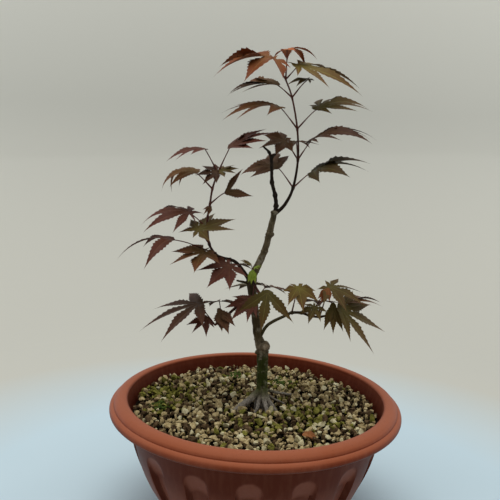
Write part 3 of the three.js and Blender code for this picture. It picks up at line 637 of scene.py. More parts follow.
class Nodes:
    """A tree of shader nodes, with short calls to add to it."""

    def __init__(self, tree):
        self.tree = tree
        self.places = self.node("TexCoord")

    def node(self, kind, inputs=None, **settings):
        made = self.tree.nodes.new("ShaderNode" + kind)
        for name, value in settings.items():
            setattr(made, name, value)
        for name, value in (inputs or {}).items():
            self.fill(made.inputs[name], value)
        return made

    def fill(self, socket, value):
        if isinstance(value, bpy.types.NodeSocket):
            self.tree.links.new(value, socket)
        else:
            socket.default_value = value

    def parts(self, vector):
        """Sockets of a vector's X, Y and Z."""
        return self.node("SeparateXYZ", {"Vector": vector}).outputs


class Finish(Nodes):
    """A material's nodes, with short calls for the kinds used here."""

    def __init__(self, name, roughness):
        self.material = bpy.data.materials.new(name)
        self.material.use_nodes = True
        super().__init__(self.material.node_tree)
        self.surface = self.tree.nodes["Principled BSDF"]
        self.surface.inputs["Roughness"].default_value = roughness
        self.surface.inputs["Specular IOR Level"].default_value = GLOSS

    def noise(self, size, detail=3, stretch=(1, 1, 1)):
        """Noise with bumps of a size, drawn out along an axis by its stretch."""
        scale = tuple(1 / (size * MM * part) for part in stretch)
        placed = self.node("Mapping", {"Vector": self.places.outputs["Object"], "Scale": scale})
        inputs = {"Vector": placed.outputs["Vector"], "Scale": 1, "Detail": detail, "Roughness": 0.6}
        return self.node("TexNoise", inputs).outputs["Fac"]

    def ramp(self, share, stops):
        """Colours by share, from pairs of a share and a display colour."""
        made = self.node("ValToRGB", {"Fac": share})
        elements = made.color_ramp.elements
        while len(elements) < len(stops):
            elements.new(0.5)
        for element, (place, color) in zip(elements, stops):
            element.position = place
            element.color = tone(color)
        return made.outputs["Color"]

    def even_ramp(self, share, colors):
        """Colours spread evenly over the reach of a noise."""
        places = np.linspace(*NOISE_REACH, len(colors))
        return self.ramp(share, list(zip(places.tolist(), colors)))

    def height_ramp(self, low, high, stops):
        """Colours by height between two heights, from pairs of a height and a display colour."""
        shares = [((height - low) / (high - low), color) for height, color in stops]
        height = self.parts(self.places.outputs["Object"])["Z"]
        return self.ramp(self.span(height, low * MM, high * MM), shares)

    def mix(self, share, first, second):
        return self.node("MixRGB", {"Fac": share, "Color1": first, "Color2": second}).outputs["Color"]

    def span(self, value, low, high, to_low=0.0, to_high=1.0):
        inputs = {"Value": value, "From Min": low, "From Max": high, "To Min": to_low, "To Max": to_high}
        return self.node("MapRange", inputs).outputs["Result"]

    def from_axis(self, low, high):
        """Share of the way out from one distance from the bowl's axis to another."""
        level = self.node(
            "VectorMath", {0: self.places.outputs["Object"], 1: (1, 1, 0)}, operation="MULTIPLY")
        away = self.node("VectorMath", {0: level.outputs["Vector"]}, operation="LENGTH")
        return self.span(away.outputs["Value"], low * MM, high * MM)

    def color(self, socket):
        self.fill(self.surface.inputs["Base Color"], socket)

    def rough(self, share, low, high):
        self.fill(self.surface.inputs["Roughness"], self.span(share, *NOISE_REACH, low, high))

    def bump(self, height, depth):
        """Relief of a depth from a height of 0 to 1."""
        relief = self.node("Bump", {"Height": height, "Distance": depth * MM, "Strength": 1})
        self.fill(self.surface.inputs["Normal"], relief.outputs["Normal"])


def mottled(name, stretch=(1, 1, 1)):
    """Colour that wanders between shades in patches, with a fine rough relief."""
    look = MOTTLES[name]
    finish = Finish(name, look.roughness)
    wander = finish.noise(look.patch, 4, stretch)
    finish.color(finish.even_ramp(wander, look.shades))
    finish.bump(finish.noise(look.grain, 2, stretch), look.depth)
    finish.rough(wander, look.roughness - 0.06, look.roughness + 0.06)
    return finish.material


def bowl_finish():
    """Matt plastic the colour of fired clay, with faded patches on the rim. Light and shade are painted in
    by how far up each surface faces: the rim lighter where it faces up and darker where it faces down, the
    outer wall dark with painted bounce light where it faces down, the inner wall darker with dirt and
    painted shade.
    """
    finish = Finish("bowl_plastic", 0.5)
    finish.surface.inputs["Specular Tint"].default_value = tone(BOWL_GLOSS_COLOR)
    cloud = finish.noise(38, 4)
    upward = finish.parts(finish.node("NewGeometry").outputs["Normal"])["Z"]
    # Painted light and shade: the outer wall's and the rim's colours are picked by how far up each surface
    # faces
    outer_wall_light_and_shade = finish.ramp(finish.span(upward, *WALL_FACING), WALL_LIT_AND_SHADED_COLORS)
    # The inner wall takes a darker colour: dirt and painted shade together
    wall = finish.mix(finish.span(upward, *INNER_WALL_FACING), outer_wall_light_and_shade, tone(INNER_WALL_DIRT_AND_SHADE_COLOR))
    rim = finish.ramp(finish.span(upward, *RIM_FACING), RIM_LIT_AND_SHADED_COLORS)
    faded = finish.mix(finish.span(cloud, 0.4, 0.7, 0, 0.3), rim, tone(FADED_COLOR))
    base = finish.mix(finish.from_axis(*RIM_START), wall, faded)
    streak = finish.noise(5, 3, (1, 1, 9))
    streaked = finish.mix(finish.span(streak, 0.45, 0.75, 0, 0.14), base, tone(STREAK_COLOR))
    speck = finish.noise(1.3, 1)
    color = finish.mix(finish.span(speck, 0.68, 0.76, 0, 0.35), streaked, tone(SPECK_COLOR))
    finish.color(color)
    finish.rough(cloud, 0.38, 0.5)
    finish.bump(finish.noise(0.9, 2), 0.03)
    return finish.material


def trunk_finish():
    """Bark that is grey at the roots, green on the lower trunk and brown above, in upright streaks."""
    finish = Finish("trunk_bark", 0.78)
    base = finish.height_ramp(GROUND, BARK_TOP, BARK_COLORS)
    streak = finish.noise(1.6, 4, (1, 1, 7))
    dark = finish.mix(finish.span(streak, 0.35, 0.6, 0.55, 0), base, tone(BARK_STREAK_COLOR))
    patch = finish.noise(7, 4)
    color = finish.mix(finish.span(patch, 0.54, 0.72, 0, 0.6), dark, tone(BARK_PATCH_COLOR))
    finish.color(color)
    finish.rough(patch, 0.68, 0.86)
    finish.bump(finish.noise(0.7, 3, (1, 1, 3)), 0.12)
    return finish.material


def leaf_finish(name, heart, tip, roughness):
    """A mottled blade whose colour turns from its heart to its tips, with a faint relief."""
    finish = Finish(name, roughness)
    along = finish.span(finish.parts(finish.places.outputs["UV"])["Y"], 0.12, 0.8)
    patch = finish.noise(6, 4)
    blotch = finish.noise(28, 2)
    base = finish.mix(along, tone(heart), tone(tip))
    dark_heart = tone([part * 0.72 for part in heart])
    blotched = finish.mix(finish.span(blotch, 0.4, 0.6), dark_heart, tone(tip))
    finish.color(finish.mix(finish.span(patch, 0.35, 0.7, 0, 0.42), base, blotched))
    finish.rough(patch, roughness - 0.08, roughness + 0.1)
    finish.bump(finish.noise(1.1, 3), 0.1)
    return finish.material


def stage_finish():
    """Matt paint: pale blue near the bowl, grey white beyond it and up the wall."""
    finish = Finish("stage_paint", 0.85)
    floor = finish.even_ramp(finish.noise(300, 2), FLOOR_COLORS)
    top, _ = BACKDROP_COLORS[-1]
    wall = finish.height_ramp(0, top, BACKDROP_COLORS)
    finish.color(finish.mix(finish.from_axis(*FLOOR_EDGE), floor, wall))
    return finish.material


# Bowl

def smooth_line(points):
    """Pairs of radius and drop along the smooth line through some."""
    shares = np.linspace(0, 1, PROFILE_STEPS * (len(points) - 1) + 1)
    return curve_points([(radius, 0, drop) for radius, drop in points], shares)[:, [0, 2]]


def bowl_shape():
    """The turned bowl, with the flutes sunk into its outer wall and the inner wall kept clear of them."""
    wall = smooth_line(tuple(zip(WALL_RADII, WALL_DEPTHS)))
    roll = smooth_line(RIM_ROLL)
    bead = smooth_line(RIM_BEAD)
    inner = wall[::-4] - (BOWL_WALL, 0)
    flute_end = FLUTE_TOP_DEPTH + FLUTE_SLOPE
    inner[:, 0] -= FLUTE_DEPTH * smooth_step((inner[:, 1] - WALL_DEPTHS[0]) / (flute_end - WALL_DEPTHS[0]))
    inner = inner[inner[:, 1] < BOWL_HEIGHT - BOWL_FLOOR]
    outside = np.concatenate([wall[::-1], [RIM_UNDERSIDE], bead[::-1], roll[-2::-1]])
    profile = np.concatenate([
        [(0, BOWL_HEIGHT), (WALL_RADII[-1] - 1, BOWL_HEIGHT)], outside, inner[::-1],
        [(inner[0, 0] - 4, BOWL_HEIGHT - BOWL_FLOOR), (0, BOWL_HEIGHT - BOWL_FLOOR)],
    ])
    shape = turned(profile * (1, -1) + (0, BOWL_HEIGHT), BOWL_COLUMNS)
    row = np.arange(len(shape.corners)) // BOWL_COLUMNS
    on_wall = (row >= 2) & (row < 2 + len(wall))
    radius = np.hypot(shape.corners[:, 0], shape.corners[:, 1])
    turn = np.degrees(np.arctan2(shape.corners[:, 1], shape.corners[:, 0])) - FLUTE_FIRST_TURN
    pitch = 360 / FLUTE_COUNT
    from_flute = np.abs((turn + pitch / 2) % pitch - pitch / 2)
    sunk = flute_depth(BOWL_HEIGHT - shape.corners[:, 2], np.radians(from_flute) * FLUTE_RADIUS) * on_wall
    shape.corners[:, :2] *= (1 - sunk / np.maximum(radius, 1))[:, None]
    return weld(shape)


def flute_depth(depth, aside):
    """How far a flute is sunk into the wall at a depth and a distance from its centre line."""
    across = np.minimum(aside, FLUTE_HALF_WIDTH)
    arch_drop = FLUTE_HALF_WIDTH - np.sqrt(FLUTE_HALF_WIDTH ** 2 - across ** 2)
    inside = smooth_step((FLUTE_HALF_WIDTH - across) / FLUTE_EDGE)
    slope = np.clip((depth - FLUTE_TOP_DEPTH - arch_drop) / FLUTE_SLOPE, 0, 1)
    fade = np.clip((BOWL_HEIGHT - depth) / FLUTE_FADE, 0, 1)
    return FLUTE_DEPTH * inside * slope * fade


# Soil and grit

def bed_shape():
    """Soil under the grit, uneven on top and flat beneath, near black: partly the soil's own dark brown and
    partly painted shade seen through the gaps between grains.
    """
    top = [(BED_RADIUS * (1 - ring / BED_RINGS), GROUND - BED_DROP) for ring in range(BED_RINGS + 1)]
    under = GROUND - BED_DROP - BED_THICKNESS
    shape = turned([(0, under), (BED_RADIUS - 5, under)] + top, 120)
    upper = shape.corners[:, 2] > under + 1
    shape.corners[:, 2] += upper * lumpy(shape.corners, BED_LUMPS)
    return weld(shape)


def grain_shapes(random):
    """Corners of some crushed stones of unit size, all on the same triangles."""
    pebble = ball((0, 0, 0), (1, 1, 1), 2)
    shapes = []
    for _ in range(GRAIN_SHAPES):
        corners = pebble.corners * random.uniform(*GRAIN_STRETCH, 3)
        for _ in range(GRAIN_CUTS):
            facing = unit(random.normal(size=3))
            over = np.maximum(corners @ facing - random.uniform(*GRAIN_CUT_REACH), 0)
            corners = corners - over[:, None] * facing
        shapes.append(corners)
    return np.array(shapes), pebble.triangles


def scattered(spacing, reach, random):
    """Places about a spacing apart inside a circle."""
    count = int(2 * reach / spacing) + 2
    row, column = np.meshgrid(np.arange(count), np.arange(int(count * 1.2)), indexing="ij")
    x = (row + 0.5 * (column % 2)) * spacing - reach
    y = column * spacing * 0.866 - reach
    places = np.stack([x.ravel(), y.ravel()], -1)
    places += random.uniform(-0.36, 0.36, places.shape) * spacing
    return places[np.hypot(places[:, 0], places[:, 1]) < reach]


def turns_of(count, random):
    """Random rotations, as matrices."""
    return np.array([Quaternion(spin).to_matrix() for spin in unit(random.normal(size=(count, 4)))])


def on_a_root(places):
    """Which places lie over a root or the trunk's foot."""
    covered = np.hypot(places[:, 0] - FOOT[0], places[:, 1] - FOOT[1]) < FOOT_CLEARANCE
    for root in SURFACE_ROOTS:
        points = curve_points(root_joints(root), np.linspace(0, 0.86, 14))
        away = np.linalg.norm(places[:, None, :2] - points[None, :, :2], axis=2).min(1)
        covered |= away < root.radius * 0.75 + ROOT_CLEARANCE
    return covered


def patch_share(patches, places):
    """How thick the growth of some patches lies at each place, from 0 to 1."""
    share = np.zeros(len(places))
    for patch in patches:
        away = np.hypot(places[:, 0] - patch.x, places[:, 1] - patch.y)
        share = np.maximum(share, patch.share * hump(away, patch.reach))
    return share


def grit_grains(random):
    """Centre and diameter of every grain, with those that would bury the roots left out."""
    centers = []
    diameters = []
    for layer in GRAIN_LAYERS:
        places = scattered(layer.spacing, BED_RADIUS - 2.2, random)
        heights = GROUND + layer.height + random.normal(0, HEIGHT_SPREAD, len(places))
        sizes = layer.diameter * np.exp(random.normal(0, DIAMETER_SPREAD, len(places)))
        keep = ~on_a_root(places) | (layer.height < -1)
        centers.append(np.column_stack([places, heights])[keep])
        diameters.append(np.clip(sizes, *GRAIN_DIAMETERS)[keep])
    stones = np.array(PALE_STONES, float)
    centers.append(np.column_stack([stones[:, :2], np.full(len(stones), GROUND + PALE_STONE_HEIGHT)]))
    diameters.append(stones[:, 2])
    return np.concatenate(centers), np.concatenate(diameters)


def grit_kinds(centers, random):
    """Which kind each grain is: pale, tan or brown, green where algae grow, and deeper grains painted as
    shade: more often brown below the top and near black far down.
    """
    sunk = GROUND - centers[:, 2]
    # Painted shade: grains below the top are more often brown
    chance = random.uniform(size=len(centers)) + (sunk > BROWN_SHADE_DEPTH) * BROWN_SHADE_GAIN
    kinds = np.where(chance < PALE_SHARE, PALE, np.where(chance < PALE_SHARE + TAN_SHARE, TAN, BROWN))
    greened = random.uniform(size=len(centers)) < patch_share(ALGAE_PATCHES, centers) + GREEN_SHARE
    kinds[greened] = GREEN
    # Painted shade: the deepest grains are near black
    kinds[sunk > GAP_SHADE_DEPTH] = GAP_SHADE
    kinds[-len(PALE_STONES):] = PALE
    return kinds


def add_grit():
    random = np.random.default_rng(7)
    shapes, triangles = grain_shapes(random)
    centers, diameters = grit_grains(random)
    kinds = grit_kinds(centers, random)
    picked = shapes[random.integers(0, GRAIN_SHAPES, len(centers))]
    rotated = np.einsum("nij,nkj->nki", turns_of(len(centers), random), picked)
    grains = rotated * (diameters / 2)[:, None, None] + centers[:, None]
    for kind, name in enumerate(GRIT_KINDS):
        finish = mottled(f"grit_{name}")
        chosen = grains[kinds == kind]
        for part, start in enumerate(range(0, len(chosen), GRAINS_PER_PIECE)):
            heap = chosen[start:start + GRAINS_PER_PIECE]
            offsets = np.arange(len(heap))[:, None, None] * heap.shape[1]
            shape = plain_shape(heap.reshape(-1, 3), (triangles + offsets).reshape(-1, 3))
            add_piece(f"grit_{name}_{part + 1}", shape, [finish], ["soil"], 22)


def add_moss():
    """Low tufts of moss between the grains."""
    random = np.random.default_rng(11)
    tufts = []
    for patch in MOSS_PATCHES:
        for _ in range(MOSS_TUFTS):
            x, y = random.normal((patch.x, patch.y), patch.reach * 0.55)
            size = random.uniform(*TUFT_RADII)
            tuft = ball((x, y, GROUND + random.uniform(*TUFT_HEIGHTS)), (size, size, size * 0.8), 2)
            rough = 1 + 0.16 * random.normal(size=(len(tuft.corners), 1))
            middle = tuft.corners.mean(0)
            tufts.append(tuft._replace(corners=middle + (tuft.corners - middle) * rough))
    add_piece("moss", join(tufts), [mottled("moss")], ["soil"], 80)


# Trunk, boughs and spur

def root_joints(root):
    reach = direction_of(root.turn, 0)
    aside = direction_of(root.turn + 90, 0) * ROOT_SWAY * SeededRandom(root.turn + 360).sway()
    outward = (
        (3, root.height, 0), (root.reach * 0.42, root.height * 0.52, 1),
        (root.reach * 0.76, root.height * 0.16, -1), (root.reach, -root.radius * 0.6, 0.5),
    )
    return [FOOT + reach * distance + (0, 0, height) + aside * sway for distance, height, sway in outward]


def fused(shapes, voxel):
    """One closed skin round overlapping shapes, and the way out of it at each corner."""
    mesh = mesh_of("fused", join(shapes))
    body = linked_object("fused", mesh)
    skin = body.modifiers.new("skin", "REMESH")
    skin.mode = "VOXEL"
    skin.voxel_size = voxel * MM
    blend = body.modifiers.new("blend", "SMOOTH")
    blend.factor = 0.5
    blend.iterations = 4
    made = body.evaluated_get(bpy.context.evaluated_depsgraph_get()).to_mesh()
    corners = np.array([corner.co[:] for corner in made.vertices]) / MM
    outward = np.array([corner.normal[:] for corner in made.vertices])
    quads = np.array([face.vertices[:] for face in made.polygons])
    bpy.data.objects.remove(body)
    bpy.data.meshes.remove(mesh)
    return plain_shape(corners, split_quads(quads)), outward


def bark_relief(corners):
    """How far the trunk's bark stands out: lumps, upright furrows, ring scars and the lip of the cut."""
    relief = lumpy(corners, BARK_LUMPS)
    near_ground = smooth_step((ROOT_BARK_TOP - corners[:, 2]) / ROOT_BARK_FADE)
    relief += near_ground * lumpy(corners, ROOT_LUMPS)
    slant = 0.5 * noise_at(corners, 5)
    for ring in TRUNK_RINGS:
        relief += 0.5 * hump(corners[:, 2] - ring + slant, 0.6)
    away = np.linalg.norm(corners - SCAR_CENTER, axis=1)
    relief += 0.8 * hump(away - SCAR_RADIUS - 1, 0.8)
    relief += 0.9 * hump(away, 8) * noise_at(corners, 2.6)
    relief -= 0.9 * smooth_step((SCAR_RADIUS - away) / 1.2)
    return relief


def add_trunk():
    shapes = [limb(TRUNK_JOINTS, TRUNK_RADII, 32, 2)]
    shapes += [ball(knob.center, knob.radii, 4) for knob in TRUNK_KNOBS]
    for root in SURFACE_ROOTS:
        shapes.append(limb(root_joints(root), (root.radius, root.radius * 0.85, root.radius * 0.6), 16, 1.5))
    shapes.append(limb(STUB_JOINTS, STUB_RADII, 14, 1.2))
    skin, outward = fused(shapes, TRUNK_VOXEL)
    corners = skin.corners + outward * bark_relief(skin.corners)[:, None]
    middles = corners[skin.triangles].mean(1)
    material = (np.linalg.norm(middles - SCAR_CENTER, axis=1) < SCAR_RADIUS).astype(int)
    shape = skin._replace(corners=corners, material=material)
    add_piece("trunk_bark", shape, [trunk_finish(), mottled("healed_cut")], ["trunk"], 80)


def add_spur():
    shapes = [limb(SPUR_JOINTS, SPUR_RADII, 18, 0.7, (1, 2, 3), 0.28)]
    shapes += [limb(twig, SPUR_TWIG_RADII, 14, 0.7, (1,), 0.22) for twig in SPUR_TWIGS]
    finish = mottled("dead_bark", stretch=(1, 1, 3))
    add_piece("spur_bark", join(shapes), [finish], ["dead_spur"], 70)


def bough_finish(name, foot, middle, tip):
    """Thin bark that turns from one colour at the limb's foot to another at its tip."""
    finish = Finish(name, 0.66)
    along = finish.parts(finish.places.outputs["UV"])["Y"]
    base = finish.ramp(along, ((0, foot), (0.42, middle), (0.75, tip)))
    patch = finish.noise(2.2, 4)
    finish.color(finish.mix(finish.span(patch, 0.35, 0.7, 0, 0.5), base, tone(LIMB_PATCH_COLOR)))
    finish.rough(patch, 0.55, 0.75)
    finish.bump(finish.noise(0.6, 3), 0.1)
    return finish.material


def add_limbs():
    """The boughs with the stems that carry their leaves, each one limb to its tip."""
    finishes = {
        "dark": bough_finish("dark_bough", (50, 40, 28), (48, 34, 26), (104, 62, 52)),
        "green": bough_finish("green_bough", (98, 90, 58), (72, 60, 40), (66, 46, 36)),
    }
    for name, grown in LIMBS.items():
        joints = sorted({leaf.joint for leaf in LEAVES[name]})
        shape = limb(grown.joints, grown.radii, 16, 0.8, joints, 0.1)
        kind = "green" if name in GREEN_LIMBS else "dark"
        nodes = [f"{name}_leaves"]
        if name in BOUGHS:
            nodes.append(f"{name}_bough")
        add_piece(f"{name}_limb", shape, [finishes[kind]], nodes, 70)


# Leaves

def leaf_lobes(leaf, random):
    skipped = (len(LEAF_LOBES) - leaf.lobes) // 2
    lobes = []
    for lobe in LEAF_LOBES[skipped:skipped + leaf.lobes]:
        turn = lobe.turn * leaf.spread + TURN_JITTER * random.sway()
        length = leaf.size * lobe.length * (1 + LENGTH_JITTER * random.sway())
        droop = leaf.droop * lobe.droop * (1 + DROOP_JITTER * random.sway())
        lobes.append(Lobe(turn, length, droop))
    return lobes


def lobe_points(lobe, shares, aside, twist):
    """Points at shares along a lobe and distances off its midrib, and the way up from the blade there."""
    whole_bend = max(math.radians(lobe.droop), 0.001)
    bend = whole_bend * shares
    bend_radius = lobe.length / whole_bend
    turn = math.radians(lobe.turn)
    outward = np.array([math.cos(turn), math.sin(turn), 0])
    sideways = np.array([-math.sin(turn), math.cos(turn), 0])
    up = np.sin(bend)[:, None] * outward + np.cos(bend)[:, None] * UP
    points = (bend_radius * np.sin(bend))[:, None] * outward
    points = points - (bend_radius * (1 - np.cos(bend)))[:, None] * UP
    lean = twist * smooth_step(shares / LOBE_BELLY)
    level = (aside * np.cos(lean))[:, None] * sideways
    raised = (aside * np.sin(lean) + LEAF_FOLD * np.abs(aside))[:, None] * up
    return points + level + raised, up


def lobe_half_width(shares, start, start_width, width):
    """Half the width of a lobe from the notch beside it to its long drawn tip."""
    swell = smooth_step((shares - start) / (LOBE_BELLY - start))
    widening = start_width + (width - start_width) * swell
    fall = np.clip((shares - LOBE_BELLY) / (1 - LOBE_BELLY), 0, 1)
    narrowing = width * (1 - fall) ** LOBE_TAPER * (1 + LOBE_SHOULDER * fall)
    return np.where(shares < LOBE_BELLY, widening, narrowing)


def lobe_side(lobe, notch, side, palm, rows, full_width, twist):
    """Edge of one side of a lobe: along the line to its notch, then toothed to the tip."""
    reach = math.hypot(notch[0], notch[1])
    apart = math.atan2(notch[1], notch[0]) - math.radians(lobe.turn)
    start = float(np.clip(reach * math.cos(apart) / lobe.length, *LOBE_START_REACH))
    start_width = abs(reach * math.sin(apart))
    shares = start + (1 - start) * rows
    toothed = (np.arange(len(rows)) % 2) * (rows < TOOTH_END)
    edge_shares = np.minimum(shares + TOOTH_LEAN * toothed / len(rows), 1)
    width = lobe_half_width(edge_shares, start, start_width, full_width * lobe.length)
    width = width * (1 + TOOTH_HEIGHT * toothed)
    edge, _ = lobe_points(lobe, edge_shares, side * width, twist)
    edge[0] = notch
    return np.concatenate([palm[:, None] * notch, edge]), np.concatenate([palm * start, shares])


def lobe_sheets(lobe, notches, full_width, random):
    """Upper and lower sheet of one lobe, from the heart of the leaf to the lobe's tip."""
    palm = np.array(PALM_ROWS)
    rows = np.linspace(0, 1, LOBE_ROWS)
    twist = math.radians(LOBE_TWIST) * random.sway()
    right_edge, right_shares = lobe_side(lobe, notches[0], -1, palm, rows, full_width, twist)
    left_edge, left_shares = lobe_side(lobe, notches[1], 1, palm, rows, full_width, twist)
    shares = (right_shares + left_shares) / 2
    rib, up = lobe_points(lobe, shares, np.zeros(len(shares)), twist)
    up[:len(palm)] = UP
    half_width = (np.linalg.norm(right_edge - rib, axis=1) + np.linalg.norm(left_edge - rib, axis=1)) / 2
    rib_share = np.clip(MIDRIB_HALF_WIDTH / np.maximum(half_width, 0.05), 0.06, 0.4)
    spread = np.concatenate([palm, np.ones(len(rows))])
    fade = np.concatenate([np.ones(len(palm)), 1 - rows**2])
    wave = random.draw() * 2 * math.pi
    columns = []
    for share in (-1, -SIDE_COLUMN, -rib_share, 0, rib_share, SIDE_COLUMN, 1):
        off = np.abs(share * np.ones(len(rib)))
        edge = right_edge if np.min(share) < 0 else left_edge
        waves = np.sin(RIPPLE_WAVES * shares + wave + 2 * np.sign(np.min(share)))
        ripple = RIPPLE_HEIGHT * half_width * waves * off**2 * fade
        quilt = QUILT_HEIGHT * half_width * off * (1 - off)
        ridge = MIDRIB_HEIGHT * (off == 0)
        lift = (ripple * (off < 1) + quilt + ridge * fade) * spread
        thickness = LEAF_THICKNESS / 2 * (1 - (off * spread) ** 2) * fade
        middle = rib + off[:, None] * (edge - rib) + lift[:, None] * up
        columns.append((middle, thickness[:, None] * up, off))
    middle, thickness, off = (np.stack(values, 1) for values in zip(*columns))
    count = len(columns)
    across = off * np.sign(np.arange(count) - count // 2)
    uv = np.stack([across / 2 + 0.5, np.repeat(shares[:, None], count, axis=1)], -1).reshape(-1, 2)
    triangles = grid_triangles(len(rib), count, False)
    is_vein = np.tile(np.repeat(MIDRIB_STRIPS, 2), len(rib) - 1)
    upper = Shape((middle + thickness).reshape(-1, 3), triangles[:, ::-1], uv, 2 * is_vein)
    lower = Shape((middle - thickness).reshape(-1, 3), triangles, uv, 1 + is_vein)
    return [upper, lower]


def heel_sheets(notches):
    """The small web of blade behind the stalk, between the outermost lobes."""
    palm = np.array((*PALM_ROWS, 1))
    thickness = LEAF_THICKNESS / 2 * (1 - palm**2)
    sheets = []
    for side, material in ((1, 0), (-1, 1)):
        lift = side * thickness[:, None] * UP
        edges = [palm[:, None] * notch + lift for notch in (notches[-1], notches[0])]
        sheet = np.stack(edges, 1).reshape(-1, 3)
        triangles = grid_triangles(len(palm), 2, False)[:, ::-side]
        uv = np.full((len(sheet), 2), 0.05)
        sheets.append(Shape(sheet, triangles, uv, np.full(len(triangles), material)))
    return sheets


def blade_shape(leaf, random):
    """A palmate blade in its own frame, its heart at the origin and its middle lobe along +X."""
    lobes = leaf_lobes(leaf, random)
    finer = SeededRandom(int(leaf.size * 100 + leaf.turn + 360))
    heel = LEAF_HEEL * leaf.size
    notches = [heel * direction_of(-HEEL_TURN, 0)]
    for first, second in zip(lobes, lobes[1:]):
        reach = NOTCH_SHARE * min(first.length, second.length) + NOTCH_REACH * leaf.size
        notches.append(reach * direction_of((first.turn + second.turn) / 2, 0) + 0.01 * leaf.size * UP)
    notches.append(heel * direction_of(HEEL_TURN, 0))
    sheets = heel_sheets(notches)
    for index, lobe in enumerate(lobes):
        sheets += lobe_sheets(lobe, notches[index:index + 2], LOBE_WIDTH * leaf.width, finer)
    return weld(join(sheets))


def blade_pose(leaf):
    turn = Matrix.Rotation(math.radians(leaf.turn + leaf.twist), 3, "Z")
    tilt = Matrix.Rotation(-math.radians(leaf.tilt), 3, "Y")
    roll = Matrix.Rotation(math.radians(leaf.roll), 3, "X")
    return np.array(turn @ tilt @ roll)


def bud_shape(place, direction):
    shares = np.linspace(0, 1, len(BUD_TAPER))
    points = np.asarray(place) + np.outer(shares * BUD_LENGTH, unit(direction))
    return tube(points, BUD_RADIUS * np.array(BUD_TAPER), 10)


def stalk_shape(leaf, node, base, heel):
    arch = node + 0.6 * (base - node) + STALK_ARCH * leaf.stalk * UP
    slim = STALK_RADIUS if leaf.size > SMALL_LEAF else STALK_RADIUS * SMALL_STALK_SHARE
    foot = STALK_FOOT_RADIUS if leaf.size > SMALL_LEAF else STALK_RADIUS
    return limb((node, arch, heel), (foot, foot * 0.9, slim, slim, slim, slim * 0.95), 10, 1.4)


def add_leaves():
    """Every mass's leaves, joined by tint, with their stalks and buds."""
    blades = {tint: [] for tint in TINTS}
    nodes_of = {tint: set() for tint in TINTS}
    stalks = []
    buds = []
    for index, (name, mass) in enumerate(LEAVES.items()):
        random = SeededRandom(FIRST_SEED + SEED_STEP * index)
        joints = LIMBS[name].joints
        for leaf in mass:
            node = curve_points(joints, [leaf.joint / (len(joints) - 1)])[0]
            outward = direction_of(leaf.turn, leaf.rise)
            base = node + leaf.stalk * outward
            pose = blade_pose(leaf)
            blade = blade_shape(leaf, random)
            blades[leaf.tint].append(blade._replace(corners=blade.corners @ pose.T + base))
            nodes_of[leaf.tint].add(f"{name}_leaves")
            heel = base + pose @ np.array([-0.02 * leaf.size, 0, 0])
            stalks.append(stalk_shape(leaf, node, base, heel))
            if leaf.stalk > SHORTEST_STALK_WITH_BUD:
                buds.append(bud_shape(node + outward * 0.8, outward + 1.1 * UP))
    for tint, shapes in blades.items():
        colors = TINTS[tint]
        finishes = [
            leaf_finish(f"{tint}_upper", colors.heart, colors.tip, 0.5),
            # The underside colour is partly painted light
            leaf_finish(f"{tint}_lower", colors.under, colors.tip, 0.66),
            mottled(f"{tint}_vein"),
        ]
        add_piece(f"{tint}_leaves_fine", join(shapes), finishes, sorted(nodes_of[tint]), 70)
    masses = [f"{name}_leaves" for name in LEAVES]
    add_piece("stalks", join(stalks), [mottled("red_stalk")], masses, 70)
    add_piece("buds", join(buds), [mottled("red_bud")], masses, 70)


def add_fallen_leaf():
    """A dry curled leaf lying on the grit."""
    blade = blade_shape(FALLEN_LEAF, SeededRandom(55))
    blade = blade._replace(corners=blade.corners @ blade_pose(FALLEN_LEAF).T + FALLEN_PLACE)
    finishes = [
        leaf_finish("dry_upper", (150, 96, 56), (130, 80, 44), 0.7),
        leaf_finish("dry_lower", (142, 94, 60), (122, 78, 48), 0.75),
        mottled("dry_vein"),
    ]
    add_piece("fallen_leaf", blade, finishes, ["soil"], 70)


# Stage, light and camera

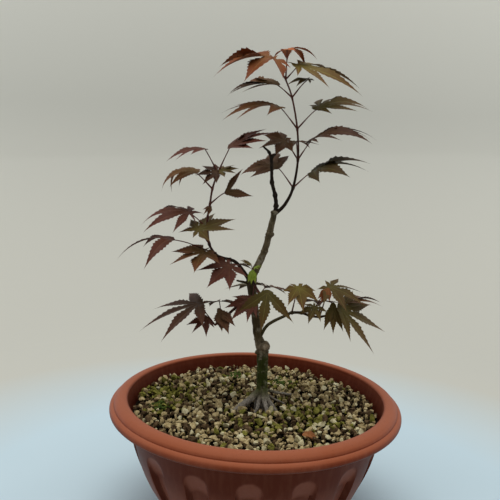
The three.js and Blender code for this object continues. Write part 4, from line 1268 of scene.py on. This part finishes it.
def add_stage():
    """A round floor inside a wall that curves up all round it, which is seen but throws back no light."""
    turns = np.radians(np.linspace(0, 90, 16))
    cove = [(FLOOR_RADIUS + COVE * math.sin(turn), COVE * (1 - math.cos(turn))) for turn in turns]
    floor_shape = turned([(0, 0), (FLOOR_RADIUS / 2, 0), (FLOOR_RADIUS, 0)], 96)
    wall_shape = turned(cove + [(FLOOR_RADIUS + COVE, WALL_HEIGHT)], 96)
    paint = stage_finish()
    floor = add_object("pale_floor", weld(floor_shape), [paint], 80)
    wall = add_object("pale_wall", weld(wall_shape), [paint], 80)
    wall.visible_diffuse = False
    wall.visible_glossy = False


def add_lamp():
    """One wide soft lamp overhead."""
    lamp = bpy.data.lights.new("overhead", "AREA")
    lamp.shape = "DISK"
    lamp.size = LAMP_SIZE * MM
    lamp.energy = LAMP_POWER
    lamp.color = LAMP_COLOR
    made = linked_object("overhead", lamp)
    made.location = Vector(LAMP_PLACE) * MM
    made.rotation_euler = (Vector(LAMP_AIM) - Vector(LAMP_PLACE)).to_track_quat("-Z", "Y").to_euler()


def add_sky():
    """A pale sky that is brightest at the sides and behind the plant."""
    world = bpy.data.worlds.new("soft_sky")
    world.use_nodes = True
    sky = Nodes(world.node_tree)
    direction = sky.parts(sky.places.outputs["Generated"])

    def times_plus(first, second, added):
        inputs = {0: first, 1: second, 2: added}
        return sky.node("Math", inputs, operation="MULTIPLY_ADD").outputs["Value"]

    sides = times_plus(direction["X"], direction["X"], 0)
    with_sides = times_plus(sides, SKY_SIDES, SKY_STRENGTH)
    strength = times_plus(direction["Y"], SKY_BACK, with_sides)
    background = world.node_tree.nodes["Background"]
    sky.fill(background.inputs["Color"], SKY_COLOR)
    sky.fill(background.inputs["Strength"], strength)
    bpy.context.scene.world = world


def add_camera():
    camera = bpy.data.cameras.new("photo_view")
    camera.sensor_width = VIEW_SENSOR
    camera.lens = VIEW_LENS
    camera.clip_start = 10 * MM
    made = linked_object("photo_view", camera)
    level = Matrix.Rotation(math.radians(90 - VIEW_DOWN), 4, "X")
    roll = Matrix.Rotation(math.radians(VIEW_ROLL), 4, "Z")
    made.matrix_world = Matrix.Translation(Vector(VIEW_PLACE) * MM) @ level @ roll
    bpy.context.scene.camera = made
    bpy.context.scene.view_settings.view_transform = "Standard"


add_camera()
add_stage()
add_lamp()
add_sky()
add_piece("fluted_bowl", bowl_shape(), [bowl_finish()], ["bowl"], 40)
add_piece("soil_bed", bed_shape(), [mottled("soil_with_gap_shade")], ["soil"], 80)
add_grit()
add_moss()
add_fallen_leaf()
add_trunk()
add_spur()
add_limbs()
add_leaves()
